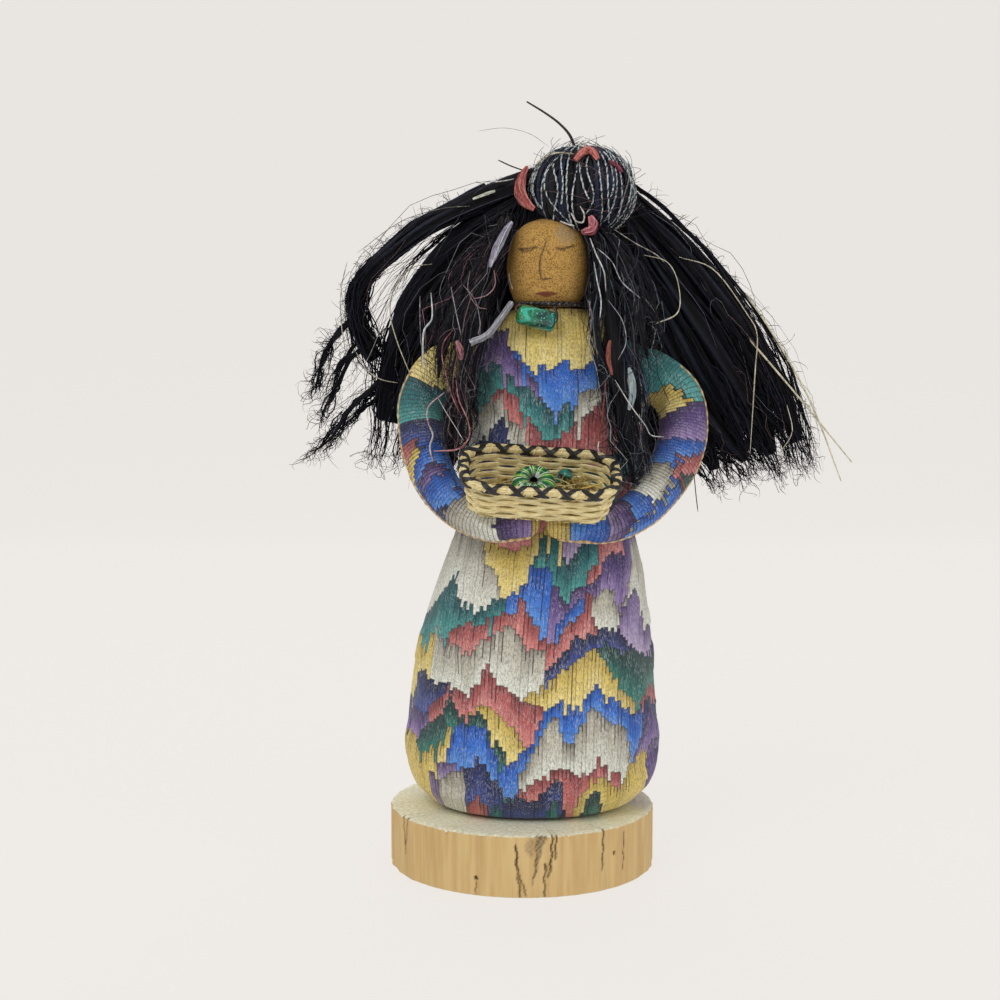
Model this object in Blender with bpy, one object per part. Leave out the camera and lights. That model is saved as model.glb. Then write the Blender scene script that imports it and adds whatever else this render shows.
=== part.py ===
"""Folk art doll: a stuffed cloth figure with yarn hair that holds a small basket, on a log slice.

Metres, +Z up. The origin is the centre of the log slice's underside, and the doll faces -Y.
Left and right are the doll's own: its left arm is at +X. The figure is a free form, so its
outline, pose and hair are shares of FIGURE_HEIGHT, counted from the top of the slice.
"""

import math

import bpy
import numpy as np

# Driving dimensions
BASE_DIAMETER = 0.102
BASE_THICKNESS = 0.0228
BASE_EDGE_CHAMFER = 0.0008
FIGURE_HEIGHT = 0.250
NECK_CORD_DIAMETER = 0.0022
NECK_BEAD_LENGTH = 0.0145
NECK_BEAD_DIAMETER = 0.0080
NECK_BEAD_TILT_DEG = 14.0
NECK_BEAD_X = 0.0048
BASKET_LENGTH = 0.0560
BASKET_DEPTH = 0.0340
BASKET_HEIGHT = 0.0148
BASKET_WALL = 0.0014
BASKET_FLARE = 0.0035
BASKET_CORNER_RADIUS = 0.0120
BASKET_RIM_WIDTH = 0.0032
BASKET_RIM_HEIGHT = 0.0030
BASKET_TILT_DEG = 24.0
BASKET_ROLL_DEG = 4.0
BASKET_OFF_CENTRE = 0.0020
FILL_DEPTH = 0.0018
STRIPED_BEAD_DIAMETER = 0.0155
STRIPED_BEAD_LENGTH = 0.0070
STRIPED_BEAD_HOLE = 0.0024
STRIPED_BEAD_LEAN_DEG = 50.0
NUGGET_BEAD_DIAMETER = 0.0072
TOUCHING_GAP = 0.0003

# Facets
BODY_SIDES = 28
BODY_RINGS = 20
ARM_SIDES = 14
ARM_RINGS = 20
HEAD_SIDES = 24
HEAD_RINGS = 12
LOCK_SIDES = 8
LOCK_RINGS = 9
BASE_SIDES = 56
CORNER_STEPS = 6
CORD_STEPS = 28
CORD_SIDES = 6
BEAD_SIDES = 20
NUGGET_SIDES = 9

# How square the rings are: 2 is an ellipse
BODY_SQUARENESS = 2.15
HEAD_SQUARENESS = 2.3

# Where the beads lie on the basket's floor, as shares of its half length and half depth
STRIPED_BEAD_SEAT = (-0.085, -0.40)
NUGGET_BEAD_SEAT_BACK = 0.70

# The body's rings: height, centre x, half width and half depth, as shares of the height
BODY_OUTLINE = (
    (0.000, 0.016, 0.132, 0.112),
    (0.008, 0.016, 0.155, 0.130),
    (0.024, 0.016, 0.171, 0.141),
    (0.052, 0.016, 0.186, 0.151),
    (0.088, 0.015, 0.193, 0.157),
    (0.132, 0.016, 0.193, 0.158),
    (0.188, 0.017, 0.188, 0.154),
    (0.248, 0.020, 0.181, 0.148),
    (0.308, 0.025, 0.169, 0.138),
    (0.368, 0.031, 0.154, 0.126),
    (0.422, 0.035, 0.138, 0.113),
    (0.468, 0.038, 0.132, 0.104),
    (0.508, 0.041, 0.134, 0.100),
    (0.568, 0.044, 0.139, 0.096),
    (0.628, 0.046, 0.142, 0.090),
    (0.668, 0.046, 0.136, 0.082),
    (0.700, 0.046, 0.117, 0.074),
    (0.728, 0.045, 0.093, 0.066),
    (0.748, 0.044, 0.074, 0.060),
    (0.760, 0.044, 0.062, 0.056),
)

# The head's rings: the same columns, on an axis that stands forward of the neck
HEAD_FORWARD = 0.022
HEAD_OUTLINE = (
    (0.000, 0.038, 0.034, 0.032),
    (0.005, 0.038, 0.046, 0.042),
    (0.019, 0.038, 0.054, 0.049),
    (0.039, 0.038, 0.060, 0.052),
    (0.063, 0.038, 0.062, 0.053),
    (0.087, 0.038, 0.060, 0.052),
    (0.107, 0.038, 0.053, 0.047),
    (0.123, 0.038, 0.039, 0.036),
    (0.133, 0.038, 0.018, 0.016),
)

# The arms' centrelines: x, y, height and radius, from the shoulder to the hand's tip
HAND_AXIS_Y = -0.160
HAND_AXIS_Z = 0.447
HAND_DROP = 0.003
HAND_RADIUS = 0.024
RIGHT_ARM_LINE = (
    (-0.083, 0.010, 0.694, 0.026),
    (-0.125, 0.006, 0.668, 0.0340),
    (-0.151, -0.004, 0.625, 0.0352),
    (-0.152, -0.020, 0.578, 0.0352),
    (-0.140, -0.050, 0.530, 0.0344),
    (-0.118, -0.085, 0.490, 0.0316),
    (-0.087, -0.120, 0.462, 0.0284),
    (-0.050, -0.147, HAND_AXIS_Z, 0.0256),
    (-0.013, HAND_AXIS_Y, HAND_AXIS_Z, HAND_RADIUS),
    (0.009, HAND_AXIS_Y, HAND_AXIS_Z, 0.0200),
)
LEFT_ARM_LINE = (
    (0.155, 0.010, 0.690, 0.026),
    (0.201, 0.006, 0.660, 0.0348),
    (0.237, -0.004, 0.625, 0.0368),
    (0.242, -0.020, 0.575, 0.0376),
    (0.226, -0.048, 0.530, 0.0368),
    (0.198, -0.082, 0.493, 0.0342),
    (0.166, -0.114, 0.464, 0.0308),
    (0.125, -0.143, 0.446, 0.0268),
    (0.085, HAND_AXIS_Y, HAND_AXIS_Z - HAND_DROP, HAND_RADIUS),
    (0.046, HAND_AXIS_Y, HAND_AXIS_Z - HAND_DROP, 0.0200),
)

# The topknot: an upright bundle with a furrow between its yarns, and its stiff yarn end
TOPKNOT_CENTRE = (0.090, -0.012, 0.937)
TOPKNOT_HALF_SIZE = (0.078, 0.066, 0.065)
TOPKNOT_FURROWS = 11
TOPKNOT_FURROW_DEPTH = 0.07
TOPKNOT_STEM = (
    (0.084, -0.008, 0.985, 0.0044),
    (0.073, -0.008, 1.019, 0.0036),
    (0.056, -0.004, 1.040, 0.0030),
    (0.034, 0.000, 1.057, 0.0026),
    (0.006, 0.000, 1.074, 0.0020),
)

# The hair: each lock is a tapered tube through x, y, height and radius
PARTING_X = 0.046
CROWN_CENTRE = (0.046, 0.022, 0.868)
CROWN_HALF_SIZE = (0.080, 0.062, 0.092)
RIGHT_FALL = {
    "outer": (
        (0.016, 0.004, 0.957, 0.0220),
        (-0.034, 0.016, 0.939, 0.0240),
        (-0.092, 0.032, 0.918, 0.0224),
        (-0.148, 0.040, 0.892, 0.0200),
        (-0.199, 0.048, 0.855, 0.0180),
        (-0.242, 0.048, 0.815, 0.0168),
        (-0.258, 0.048, 0.773, 0.0160),
        (-0.250, 0.048, 0.727, 0.0176),
        (-0.226, 0.052, 0.682, 0.0208),
        (-0.197, 0.060, 0.646, 0.0200),
    ),
    "wisp_high": (
        (-0.254, 0.048, 0.756, 0.0110),
        (-0.289, 0.048, 0.723, 0.0092),
        (-0.310, 0.048, 0.695, 0.0080),
        (-0.319, 0.048, 0.660, 0.0068),
        (-0.324, 0.048, 0.629, 0.0040),
    ),
    "wisp_middle": (
        (-0.235, 0.056, 0.709, 0.0130),
        (-0.266, 0.052, 0.689, 0.0108),
        (-0.286, 0.048, 0.653, 0.0088),
        (-0.301, 0.048, 0.623, 0.0072),
        (-0.314, 0.048, 0.599, 0.0040),
    ),
    "wisp_low": (
        (-0.190, 0.066, 0.672, 0.0180),
        (-0.245, 0.056, 0.632, 0.0140),
        (-0.273, 0.048, 0.603, 0.0116),
        (-0.296, 0.044, 0.567, 0.0088),
        (-0.322, 0.040, 0.542, 0.0048),
    ),
    "middle": (
        (0.016, 0.016, 0.928, 0.0320),
        (-0.050, 0.040, 0.885, 0.0400),
        (-0.113, 0.060, 0.829, 0.0480),
        (-0.157, 0.072, 0.764, 0.0520),
        (-0.184, 0.072, 0.693, 0.0520),
        (-0.199, 0.072, 0.622, 0.0440),
        (-0.211, 0.064, 0.551, 0.0180),
    ),
    "inner": (
        (-0.004, 0.024, 0.884, 0.032),
        (-0.050, 0.056, 0.810, 0.040),
        (-0.088, 0.076, 0.725, 0.044),
        (-0.111, 0.084, 0.631, 0.044),
        (-0.121, 0.084, 0.540, 0.020),
    ),
    "back": (
        (0.020, 0.040, 0.950, 0.032),
        (0.000, 0.062, 0.890, 0.040),
        (-0.015, 0.078, 0.820, 0.042),
        (-0.030, 0.104, 0.734, 0.044),
        (-0.040, 0.122, 0.639, 0.042),
        (-0.050, 0.126, 0.534, 0.022),
    ),
}
LEFT_FALL = {
    "outer": (
        (0.162, 0.020, 0.929, 0.0220),
        (0.240, 0.024, 0.858, 0.0272),
        (0.308, 0.032, 0.776, 0.0304),
        (0.364, 0.040, 0.695, 0.0304),
        (0.408, 0.040, 0.608, 0.0248),
        (0.435, 0.032, 0.535, 0.0112),
    ),
    "second": (
        (0.158, 0.028, 0.912, 0.0280),
        (0.217, 0.040, 0.827, 0.0368),
        (0.278, 0.048, 0.739, 0.0408),
        (0.335, 0.056, 0.654, 0.0408),
        (0.376, 0.056, 0.575, 0.0344),
        (0.401, 0.048, 0.524, 0.0128),
    ),
    "third": (
        (0.150, 0.036, 0.894, 0.0320),
        (0.195, 0.048, 0.794, 0.0380),
        (0.247, 0.060, 0.701, 0.0440),
        (0.296, 0.068, 0.619, 0.0440),
        (0.338, 0.072, 0.556, 0.0360),
        (0.363, 0.064, 0.517, 0.0128),
    ),
    "fourth": (
        (0.139, 0.040, 0.882, 0.0320),
        (0.176, 0.060, 0.779, 0.0392),
        (0.214, 0.076, 0.685, 0.0440),
        (0.255, 0.084, 0.603, 0.0440),
        (0.292, 0.080, 0.543, 0.0340),
        (0.312, 0.072, 0.499, 0.0120),
    ),
    "inner": (
        (0.100, 0.044, 0.890, 0.036),
        (0.136, 0.072, 0.796, 0.042),
        (0.170, 0.104, 0.694, 0.046),
        (0.199, 0.116, 0.598, 0.044),
        (0.216, 0.116, 0.515, 0.020),
    ),
    "back": (
        (0.072, 0.040, 0.950, 0.032),
        (0.092, 0.062, 0.880, 0.040),
        (0.105, 0.080, 0.800, 0.044),
        (0.112, 0.112, 0.700, 0.046),
        (0.118, 0.126, 0.610, 0.044),
        (0.122, 0.128, 0.534, 0.022),
    ),
    "straw_low": (
        (0.276, 0.040, 0.801, 0.0026),
        (0.317, 0.024, 0.755, 0.0026),
        (0.358, 0.012, 0.706, 0.0026),
        (0.429, 0.008, 0.623, 0.0024),
        (0.509, 0.008, 0.527, 0.0016),
    ),
    "straw_high": (
        (0.287, 0.032, 0.829, 0.0026),
        (0.345, 0.016, 0.782, 0.0026),
        (0.411, 0.008, 0.681, 0.0026),
        (0.453, 0.004, 0.598, 0.0024),
        (0.492, 0.004, 0.498, 0.0016),
    ),
}
RIGHT_FRONT_LOCKS = {
    "inner": (
        (-0.026, -0.050, 0.885, 0.010),
        (-0.050, -0.060, 0.829, 0.018),
        (-0.069, -0.074, 0.772, 0.024),
        (-0.083, -0.092, 0.705, 0.026),
        (-0.090, -0.110, 0.638, 0.018),
        (-0.089, -0.117, 0.577, 0.007),
    ),
    "outer": (
        (-0.040, -0.052, 0.860, 0.012),
        (-0.080, -0.058, 0.803, 0.022),
        (-0.106, -0.068, 0.746, 0.026),
        (-0.121, -0.072, 0.695, 0.019),
        (-0.127, -0.068, 0.650, 0.008),
    ),
}
LEFT_FRONT_LOCKS = {
    "inner": (
        (0.106, -0.054, 0.874, 0.012),
        (0.117, -0.066, 0.824, 0.022),
        (0.126, -0.078, 0.771, 0.028),
        (0.133, -0.096, 0.704, 0.030),
        (0.143, -0.112, 0.631, 0.030),
        (0.153, -0.124, 0.575, 0.022),
        (0.168, -0.128, 0.530, 0.008),
    ),
    "outer": (
        (0.120, -0.052, 0.863, 0.014),
        (0.153, -0.058, 0.803, 0.028),
        (0.172, -0.068, 0.740, 0.028),
        (0.184, -0.076, 0.690, 0.012),
    ),
}
FRONT_LOCK_PLANE_Y = -0.034


def metres(row):
    """A point of the figure, given as shares of its height, in metres above the slice."""
    foot = BASE_THICKNESS + TOUCHING_GAP
    x, y, z = np.asarray(row[:3]) * FIGURE_HEIGHT
    return np.array([x, y, z + foot])


def smooth_rows(rows, count):
    """Rows read at even steps from a Catmull-Rom curve through the given rows."""
    rows = np.asarray(rows, float)
    ends = np.vstack([2 * rows[0] - rows[1], rows, 2 * rows[-1] - rows[-2]])
    at = np.linspace(0, len(rows) - 1, count)
    i = np.minimum(at.astype(int), len(rows) - 2)
    t = (at - i)[:, None]
    a, b, c, d = ends[i], ends[i + 1], ends[i + 2], ends[i + 3]
    return 0.5 * (
        2 * b + (c - a) * t + (2 * a - 5 * b + 4 * c - d) * t**2 + (3 * b - a - 3 * c + d) * t**3
    )


def material(name, colour, roughness, metallic=0.0):
    """A plain Principled finish."""
    made = bpy.data.materials.new(name)
    made.use_nodes = True
    shader = made.node_tree.nodes["Principled BSDF"]
    shader.inputs["Base Color"].default_value = (*colour, 1.0)
    shader.inputs["Roughness"].default_value = roughness
    shader.inputs["Metallic"].default_value = metallic
    return made


def show(name, points, faces, finish):
    """A mesh object in the scene, shaded smooth with its sharp edges kept."""
    mesh = bpy.data.meshes.new(name)
    mesh.from_pydata([tuple(p) for p in points], [], faces)
    mesh.update()
    mesh.shade_smooth()
    mesh.set_sharp_from_angle(angle=math.radians(40))
    if finish:
        mesh.materials.append(finish)
    made = bpy.data.objects.new(name, mesh)
    bpy.context.scene.collection.objects.link(made)
    return made


def hide(obj):
    """Marks a cutter or a joined lock, which isn't a piece by itself."""
    obj.hide_render = True
    obj.display_type = "WIRE"
    return obj


def loft(name, rings, finish):
    """A closed skin over rings that run anticlockwise seen from the last one, with a pole at each end."""
    rings = np.asarray(rings, float)
    count, sides = rings.shape[:2]
    points = list(rings.reshape(-1, 3)) + [rings[0].mean(0), rings[-1].mean(0)]
    low, high = count * sides, count * sides + 1
    faces = []
    for k in range(count - 1):
        for j in range(sides):
            n = (j + 1) % sides
            faces.append((k * sides + j, k * sides + n, (k + 1) * sides + n, (k + 1) * sides + j))
    for j in range(sides):
        n = (j + 1) % sides
        faces.append((n, j, low))
        faces.append(((count - 1) * sides + j, (count - 1) * sides + n, high))
    return show(name, points, faces, finish)


def closed_loop(name, points, sides, finish):
    """A skin over rings of so many sides that run round and meet the first ring again."""
    count = len(points) // sides
    faces = []
    for i in range(count):
        a, b = i * sides, (i + 1) % count * sides
        faces += [(a + j, b + j, b + (j + 1) % sides, a + (j + 1) % sides) for j in range(sides)]
    return show(name, points, faces, finish)


def oval(centre, half_width, half_depth, sides, power):
    """A level ring of superellipse points round a centre."""
    turn = np.arange(sides) * 2 * math.pi / sides
    cos, sin = np.cos(turn), np.sin(turn)
    x = np.sign(cos) * np.abs(cos) ** (2 / power) * half_width
    y = np.sign(sin) * np.abs(sin) ** (2 / power) * half_depth
    return np.stack([centre[0] + x, centre[1] + y, np.full(sides, centre[2])], 1)


def tube_rings(line, sides, count, grow=0.0):
    """Rings square to a smooth line of x, y, z and radius, carried along it without twist."""
    rows = smooth_rows(line, count)
    centres, radii = rows[:, :3], rows[:, 3] + grow
    tangents = np.gradient(centres, axis=0)
    tangents /= np.linalg.norm(tangents, axis=1)[:, None]
    side = np.cross(tangents[0], (0.0, 1.0, 0.0))
    side /= np.linalg.norm(side)
    turn = np.arange(sides) * 2 * math.pi / sides
    rings = []
    for centre, tangent, radius in zip(centres, tangents, radii):
        side = side - tangent * (side @ tangent)
        side /= np.linalg.norm(side)
        other = np.cross(tangent, side)
        spread = np.outer(np.cos(turn), side) + np.outer(np.sin(turn), other)
        rings.append(centre + spread * radius)
    return rings


def line_in_metres(line):
    """A centreline with its radius, from shares of the figure's height to metres."""
    return [(*metres(row), row[3] * FIGURE_HEIGHT) for row in line]


def tube(name, line, sides, count, finish=None, grow=0.0):
    """A closed tapered tube along a line that is given in metres."""
    return loft(name, tube_rings(line, sides, count, grow), finish)


def ellipsoid(name, centre, half_size, sides, rings, finish=None, furrows=0, depth=0.0, grow=0.0):
    """An upright ellipsoid; with furrows, its radius dips between that many upright lobes."""
    turn = np.arange(sides) * 2 * math.pi / sides
    lobe = 1 - depth * 0.5 * (1 + np.cos(furrows * turn)) if furrows else np.ones(sides)
    made = []
    for k in range(1, rings):
        rise = -math.pi / 2 + math.pi * k / rings
        flat = np.stack([np.cos(turn) * lobe, np.sin(turn) * lobe], 1) * math.cos(rise)
        ring = np.column_stack([flat * (np.array(half_size[:2]) + grow), np.zeros(sides)])
        ring[:, 2] = math.sin(rise) * (half_size[2] + grow)
        made.append(ring + np.asarray(centre))
    return loft(name, made, finish)


def boolean(obj, others, operation):
    """Joins other hidden objects to this one, or cuts them all away, in one step."""
    operands = bpy.data.collections.new(f"{obj.name} {operation.lower()}")
    for other in others:
        operands.objects.link(hide(other))
    modifier = obj.modifiers.new(operands.name, "BOOLEAN")
    modifier.operation = operation
    modifier.solver = "EXACT"
    modifier.operand_type = "COLLECTION"
    modifier.collection = operands


def join(obj, others):
    """Makes one solid of an object and the hidden ones that run into it."""
    boolean(obj, others, "UNION")


def cut(obj, cutters):
    """Cuts an object by grown copies of its neighbours."""
    boolean(obj, cutters, "DIFFERENCE")


def half_space(name, axis, at, keep_above):
    """A large box on the side of a plane that is cut away, with half the touching gap left clear."""
    reach = 2 * FIGURE_HEIGHT
    edge = at + (1 if keep_above else -1) * TOUCHING_GAP / 2
    low, high = np.full(3, -reach), np.full(3, reach)
    if keep_above:
        high[axis] = edge
    else:
        low[axis] = edge
    x_ends, y_ends, z_ends = zip(low, high)
    corners = [(x, y, z) for z in z_ends for y in y_ends for x in x_ends]
    faces = [(0, 2, 3, 1), (4, 5, 7, 6), (0, 1, 5, 4), (2, 6, 7, 3), (0, 4, 6, 2), (1, 3, 7, 5)]
    return hide(show(name, corners, faces, None))


def base_slice(finish):
    """The log slice: nearly round, with a slow bump on its outline and a broken upper edge."""
    turn = np.arange(BASE_SIDES) * 2 * math.pi / BASE_SIDES
    waves = 0.006 * np.cos(2 * turn + 0.6) + 0.004 * np.cos(3 * turn + 2.1)
    radius = BASE_DIAMETER / 2 * (1 + waves - waves.max())
    levels = (
        (0.0, BASE_EDGE_CHAMFER / 2),
        (BASE_EDGE_CHAMFER / 2, 0.0),
        (BASE_THICKNESS - BASE_EDGE_CHAMFER, 0.0),
        (BASE_THICKNESS, BASE_EDGE_CHAMFER),
    )
    out = np.stack([np.cos(turn), np.sin(turn), np.zeros(BASE_SIDES)], 1)
    rings = [out * (radius - inset)[:, None] + (0.0, 0.0, z) for z, inset in levels]
    return loft("base_slice", rings, finish)


def body_rows():
    """The body's rings in metres: height, centre x, half width, half depth."""
    rows = smooth_rows(BODY_OUTLINE, BODY_RINGS) * FIGURE_HEIGHT
    rows[:, 0] += BASE_THICKNESS + TOUCHING_GAP
    return rows


def body_front(height):
    """The y of the body's front at its centre line, at a height in metres."""
    rows = body_rows()
    return -float(np.interp(height, rows[:, 0], rows[:, 3]))


def body(name, finish, grow=0.0):
    """The stuffed cloth form from the skirt's foot to the collar."""
    rings = [
        oval((x, 0.0, z), width + grow, depth + grow, BODY_SIDES, BODY_SQUARENESS)
        for z, x, width, depth in body_rows()
    ]
    rings[0][:, 2] -= grow
    rings[-1][:, 2] += grow
    return loft(name, rings, finish)


def collar_top():
    """The height of the collar's rim, where the head sits."""
    return float(body_rows()[-1, 0])


def head_rows():
    """The head's rings in metres: height, centre x, half width, half depth."""
    rows = smooth_rows(HEAD_OUTLINE, HEAD_RINGS) * FIGURE_HEIGHT
    rows[:, 0] += collar_top() + TOUCHING_GAP
    return rows


def head(name, finish, grow=0.0):
    """The leather head: an egg with a flattened face, cut flat where it meets the collar."""
    forward = -HEAD_FORWARD * FIGURE_HEIGHT
    rings = [
        oval((x, forward, z), width + grow, depth + grow, HEAD_SIDES, HEAD_SQUARENESS)
        for z, x, width, depth in head_rows()
    ]
    rings[0][:, 2] -= grow
    rings[-1][:, 2] += grow
    return loft(name, rings, finish)


def arm(name, line, finish, grow=0.0):
    """A stuffed sleeve and hand, rounded at the hand's tip and at the shoulder."""
    return tube(name, rounded_ends(line_in_metres(line)), ARM_SIDES, ARM_RINGS, finish, grow)


def rounded_ends(line):
    """The line with one smaller ring set beyond each end, so that the tube closes round."""
    rows = np.asarray(line, float)
    first, last = rows[0].copy(), rows[-1].copy()
    for end, before in ((first, rows[1]), (last, rows[-2])):
        along = end[:3] - before[:3]
        end[:3] += along / np.linalg.norm(along) * end[3] * 0.6
        end[3] *= 0.5
    return np.vstack([first, rows, last])


def neck_cord(finish):
    """The black cord: an oval ring that rests on the collar round the foot of the head."""
    radius = NECK_CORD_DIAMETER / 2
    rows = head_rows()
    top = collar_top() + NECK_CORD_DIAMETER + 3 * TOUCHING_GAP
    width, depth = (np.interp(top, rows[:, 0], rows[:, i]) + radius + 2 * TOUCHING_GAP for i in (2, 3))
    middle = np.array([rows[0, 1], -HEAD_FORWARD * FIGURE_HEIGHT, collar_top() + radius + TOUCHING_GAP])
    rise = np.array([0.0, 0.0, radius])
    points = []
    for t in np.arange(CORD_STEPS) * 2 * math.pi / CORD_STEPS:
        out = np.array([math.cos(t), math.sin(t), 0.0])
        centre = middle + out * (width, depth, 0.0)
        for r in np.arange(CORD_SIDES) * 2 * math.pi / CORD_SIDES:
            points.append(centre + radius * math.cos(r) * out + math.sin(r) * rise)
    return closed_loop("neck_cord", points, CORD_SIDES, finish)


def neck_bead(finish):
    """The glass bead: a cylinder with rounded ends across the collar, lower at its left end."""
    radius = NECK_BEAD_DIAMETER / 2
    height = collar_top() - radius
    centre = np.array([NECK_BEAD_X, body_front(height - radius) - radius - TOUCHING_GAP, height])
    tilt = math.radians(NECK_BEAD_TILT_DEG)
    along = np.array([math.cos(tilt), 0.0, -math.sin(tilt)])
    half = NECK_BEAD_LENGTH / 2
    steps = ((-1.0, 0.55), (-0.94, 0.82), (-0.80, 1.0), (0.80, 1.0), (0.94, 0.82), (1.0, 0.55))
    rings = []
    turn = np.arange(BEAD_SIDES) * 2 * math.pi / BEAD_SIDES
    across = np.cross(along, (0.0, 1.0, 0.0))
    for share, size in steps:
        spread = np.outer(np.cos(turn), across) + np.outer(np.sin(turn), np.cross(along, across))
        rings.append(centre + along * half * share + spread * radius * size)
    return loft("neck_bead", rings, finish)


def basket_axes():
    """The basket's own axes: its length, its depth towards the doll, and up out of its mouth."""
    tilt, roll = math.radians(BASKET_TILT_DEG), math.radians(BASKET_ROLL_DEG)
    long_axis = np.array([math.cos(roll), 0.0, -math.sin(roll)])
    back = np.array([0.0, math.cos(tilt), math.sin(tilt)])
    back -= long_axis * (long_axis @ back)
    back /= np.linalg.norm(back)
    return long_axis, back, np.cross(long_axis, back)


def basket_place():
    """The centre of the basket's underside: it rests on the hands and touches the chest."""
    _, back, up = basket_axes()
    hands = [metres(line[-1]) for line in (RIGHT_ARM_LINE, LEFT_ARM_LINE)]
    hand = (hands[0] + hands[1]) / 2
    low_edge = back * (BASKET_DEPTH / 2 - BASKET_FLARE)
    rim_edge = back * (BASKET_DEPTH + BASKET_RIM_WIDTH) / 2 + up * BASKET_HEIGHT
    top = hand[2] + HAND_RADIUS * FIGURE_HEIGHT + rim_edge[2]
    chest = min(body_front(hand[2]), body_front(top))
    y = chest - TOUCHING_GAP - max(low_edge[1], rim_edge[1])
    rest = hand @ up + HAND_RADIUS * FIGURE_HEIGHT + TOUCHING_GAP
    x = hand[0] - BASKET_OFF_CENTRE
    z = (rest - x * up[0] - y * up[1]) / up[2]
    return np.array([x, y, z])


def basket_ring(outset, rise):
    """A rounded rectangle at a height over the basket's underside, set out from the wall's foot."""
    long_axis, back, up = basket_axes()
    half_x = BASKET_LENGTH / 2 - BASKET_FLARE + outset
    half_y = BASKET_DEPTH / 2 - BASKET_FLARE + outset
    corner = min(BASKET_CORNER_RADIUS - BASKET_FLARE + outset, half_y * 0.98)
    points = []
    for quarter in range(4):
        sx, sy = ((1, 1), (-1, 1), (-1, -1), (1, -1))[quarter]
        for step in range(CORNER_STEPS):
            turn = math.pi / 2 * (quarter + step / (CORNER_STEPS - 1))
            x = sx * (half_x - corner) + corner * math.cos(turn)
            y = sy * (half_y - corner) + corner * math.sin(turn)
            points.append(basket_place() + long_axis * x + back * y + up * rise)
    return points


def basket(finish):
    """The basket: a flared wall and floor of woven thickness, under a thick laced rim."""
    wall, rim, high = BASKET_WALL, BASKET_RIM_WIDTH / 2, BASKET_HEIGHT
    lip = high - BASKET_RIM_HEIGHT
    flare = BASKET_FLARE
    lip_out = flare * lip / high
    middle = flare - wall / 2
    rings = [
        basket_ring(-wall / 2, 0.0),
        basket_ring(0.0, wall / 2),
        basket_ring(lip_out, lip),
        basket_ring(middle + rim, lip + BASKET_RIM_HEIGHT * 0.35),
        basket_ring(middle + rim * 0.6, high - BASKET_RIM_HEIGHT * 0.1),
        basket_ring(middle, high),
        basket_ring(middle - rim * 0.6, high - BASKET_RIM_HEIGHT * 0.1),
        basket_ring(middle - rim, lip + BASKET_RIM_HEIGHT * 0.35),
        basket_ring(lip_out - wall, lip),
        basket_ring(-wall, wall),
    ]
    return loft("basket", rings, finish)


def basket_hull(name, grow):
    """The basket's outside, grown and filled, for cutting what lies against it."""
    rings = [
        basket_ring(grow, -grow),
        basket_ring(BASKET_FLARE + BASKET_RIM_WIDTH / 2 + grow, BASKET_HEIGHT - BASKET_RIM_HEIGHT),
        basket_ring(BASKET_FLARE + BASKET_RIM_WIDTH / 2 + grow, BASKET_HEIGHT + grow),
    ]
    return loft(name, rings, None)


def wall_inside(rise):
    """The outset of the wall's inner face at a height over the basket's underside."""
    lip = BASKET_HEIGHT - BASKET_RIM_HEIGHT
    return BASKET_FLARE * lip / BASKET_HEIGHT * (rise - BASKET_WALL) / (lip - BASKET_WALL) - BASKET_WALL


def basket_fill(finish):
    """The straw on the floor: a low pad with rounded edges that follows the wall's inside."""
    low = BASKET_WALL + TOUCHING_GAP
    top = low + FILL_DEPTH
    round_off = FILL_DEPTH / 4
    rings = [
        basket_ring(wall_inside(rise) - TOUCHING_GAP - inset, rise)
        for rise, inset in (
            (low, round_off),
            (low + round_off, 0.0),
            (top - round_off, 0.0),
            (top, round_off),
        )
    ]
    return loft("basket_fill", rings, finish)


def in_basket(x_share, back_share, rise):
    """A point over the basket's floor, by shares of its inside's half length and half depth."""
    long_axis, back, up = basket_axes()
    half_x = BASKET_LENGTH / 2 - BASKET_FLARE - BASKET_WALL
    half_y = BASKET_DEPTH / 2 - BASKET_FLARE - BASKET_WALL
    return basket_place() + long_axis * half_x * x_share + back * half_y * back_share + up * rise


def striped_bead(finish):
    """The round bead: a flattened ball with a hole, lying in the straw and leaning back."""
    _, _, up = basket_axes()
    lean = math.radians(STRIPED_BEAD_LEAN_DEG)
    axis = np.array([0.0, -math.cos(lean), math.sin(lean)])
    across = np.array([1.0, 0.0, 0.0])
    radius, half, hole = STRIPED_BEAD_DIAMETER / 2, STRIPED_BEAD_LENGTH / 2, STRIPED_BEAD_HOLE / 2
    profile = [(hole, half * 0.8)]
    for k in range(1, 8):
        t = math.pi * k / 8
        profile.append((radius * (0.45 + 0.55 * math.sin(t)), half * math.cos(t)))
    profile += [(hole, -half * 0.8), (hole, 0.0)]
    along = axis @ up
    reach = max(abs(a * along) + r * math.sqrt(1 - along**2) for r, a in profile)
    centre = in_basket(*STRIPED_BEAD_SEAT, BASKET_WALL + FILL_DEPTH + 2 * TOUCHING_GAP + reach)
    turn = np.arange(BEAD_SIDES) * 2 * math.pi / BEAD_SIDES
    other = np.cross(axis, across)
    points = [
        centre + axis * a + r * (math.cos(t) * across + math.sin(t) * other)
        for r, a in profile
        for t in turn
    ]
    return closed_loop("striped_bead", points, BEAD_SIDES, finish)


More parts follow.
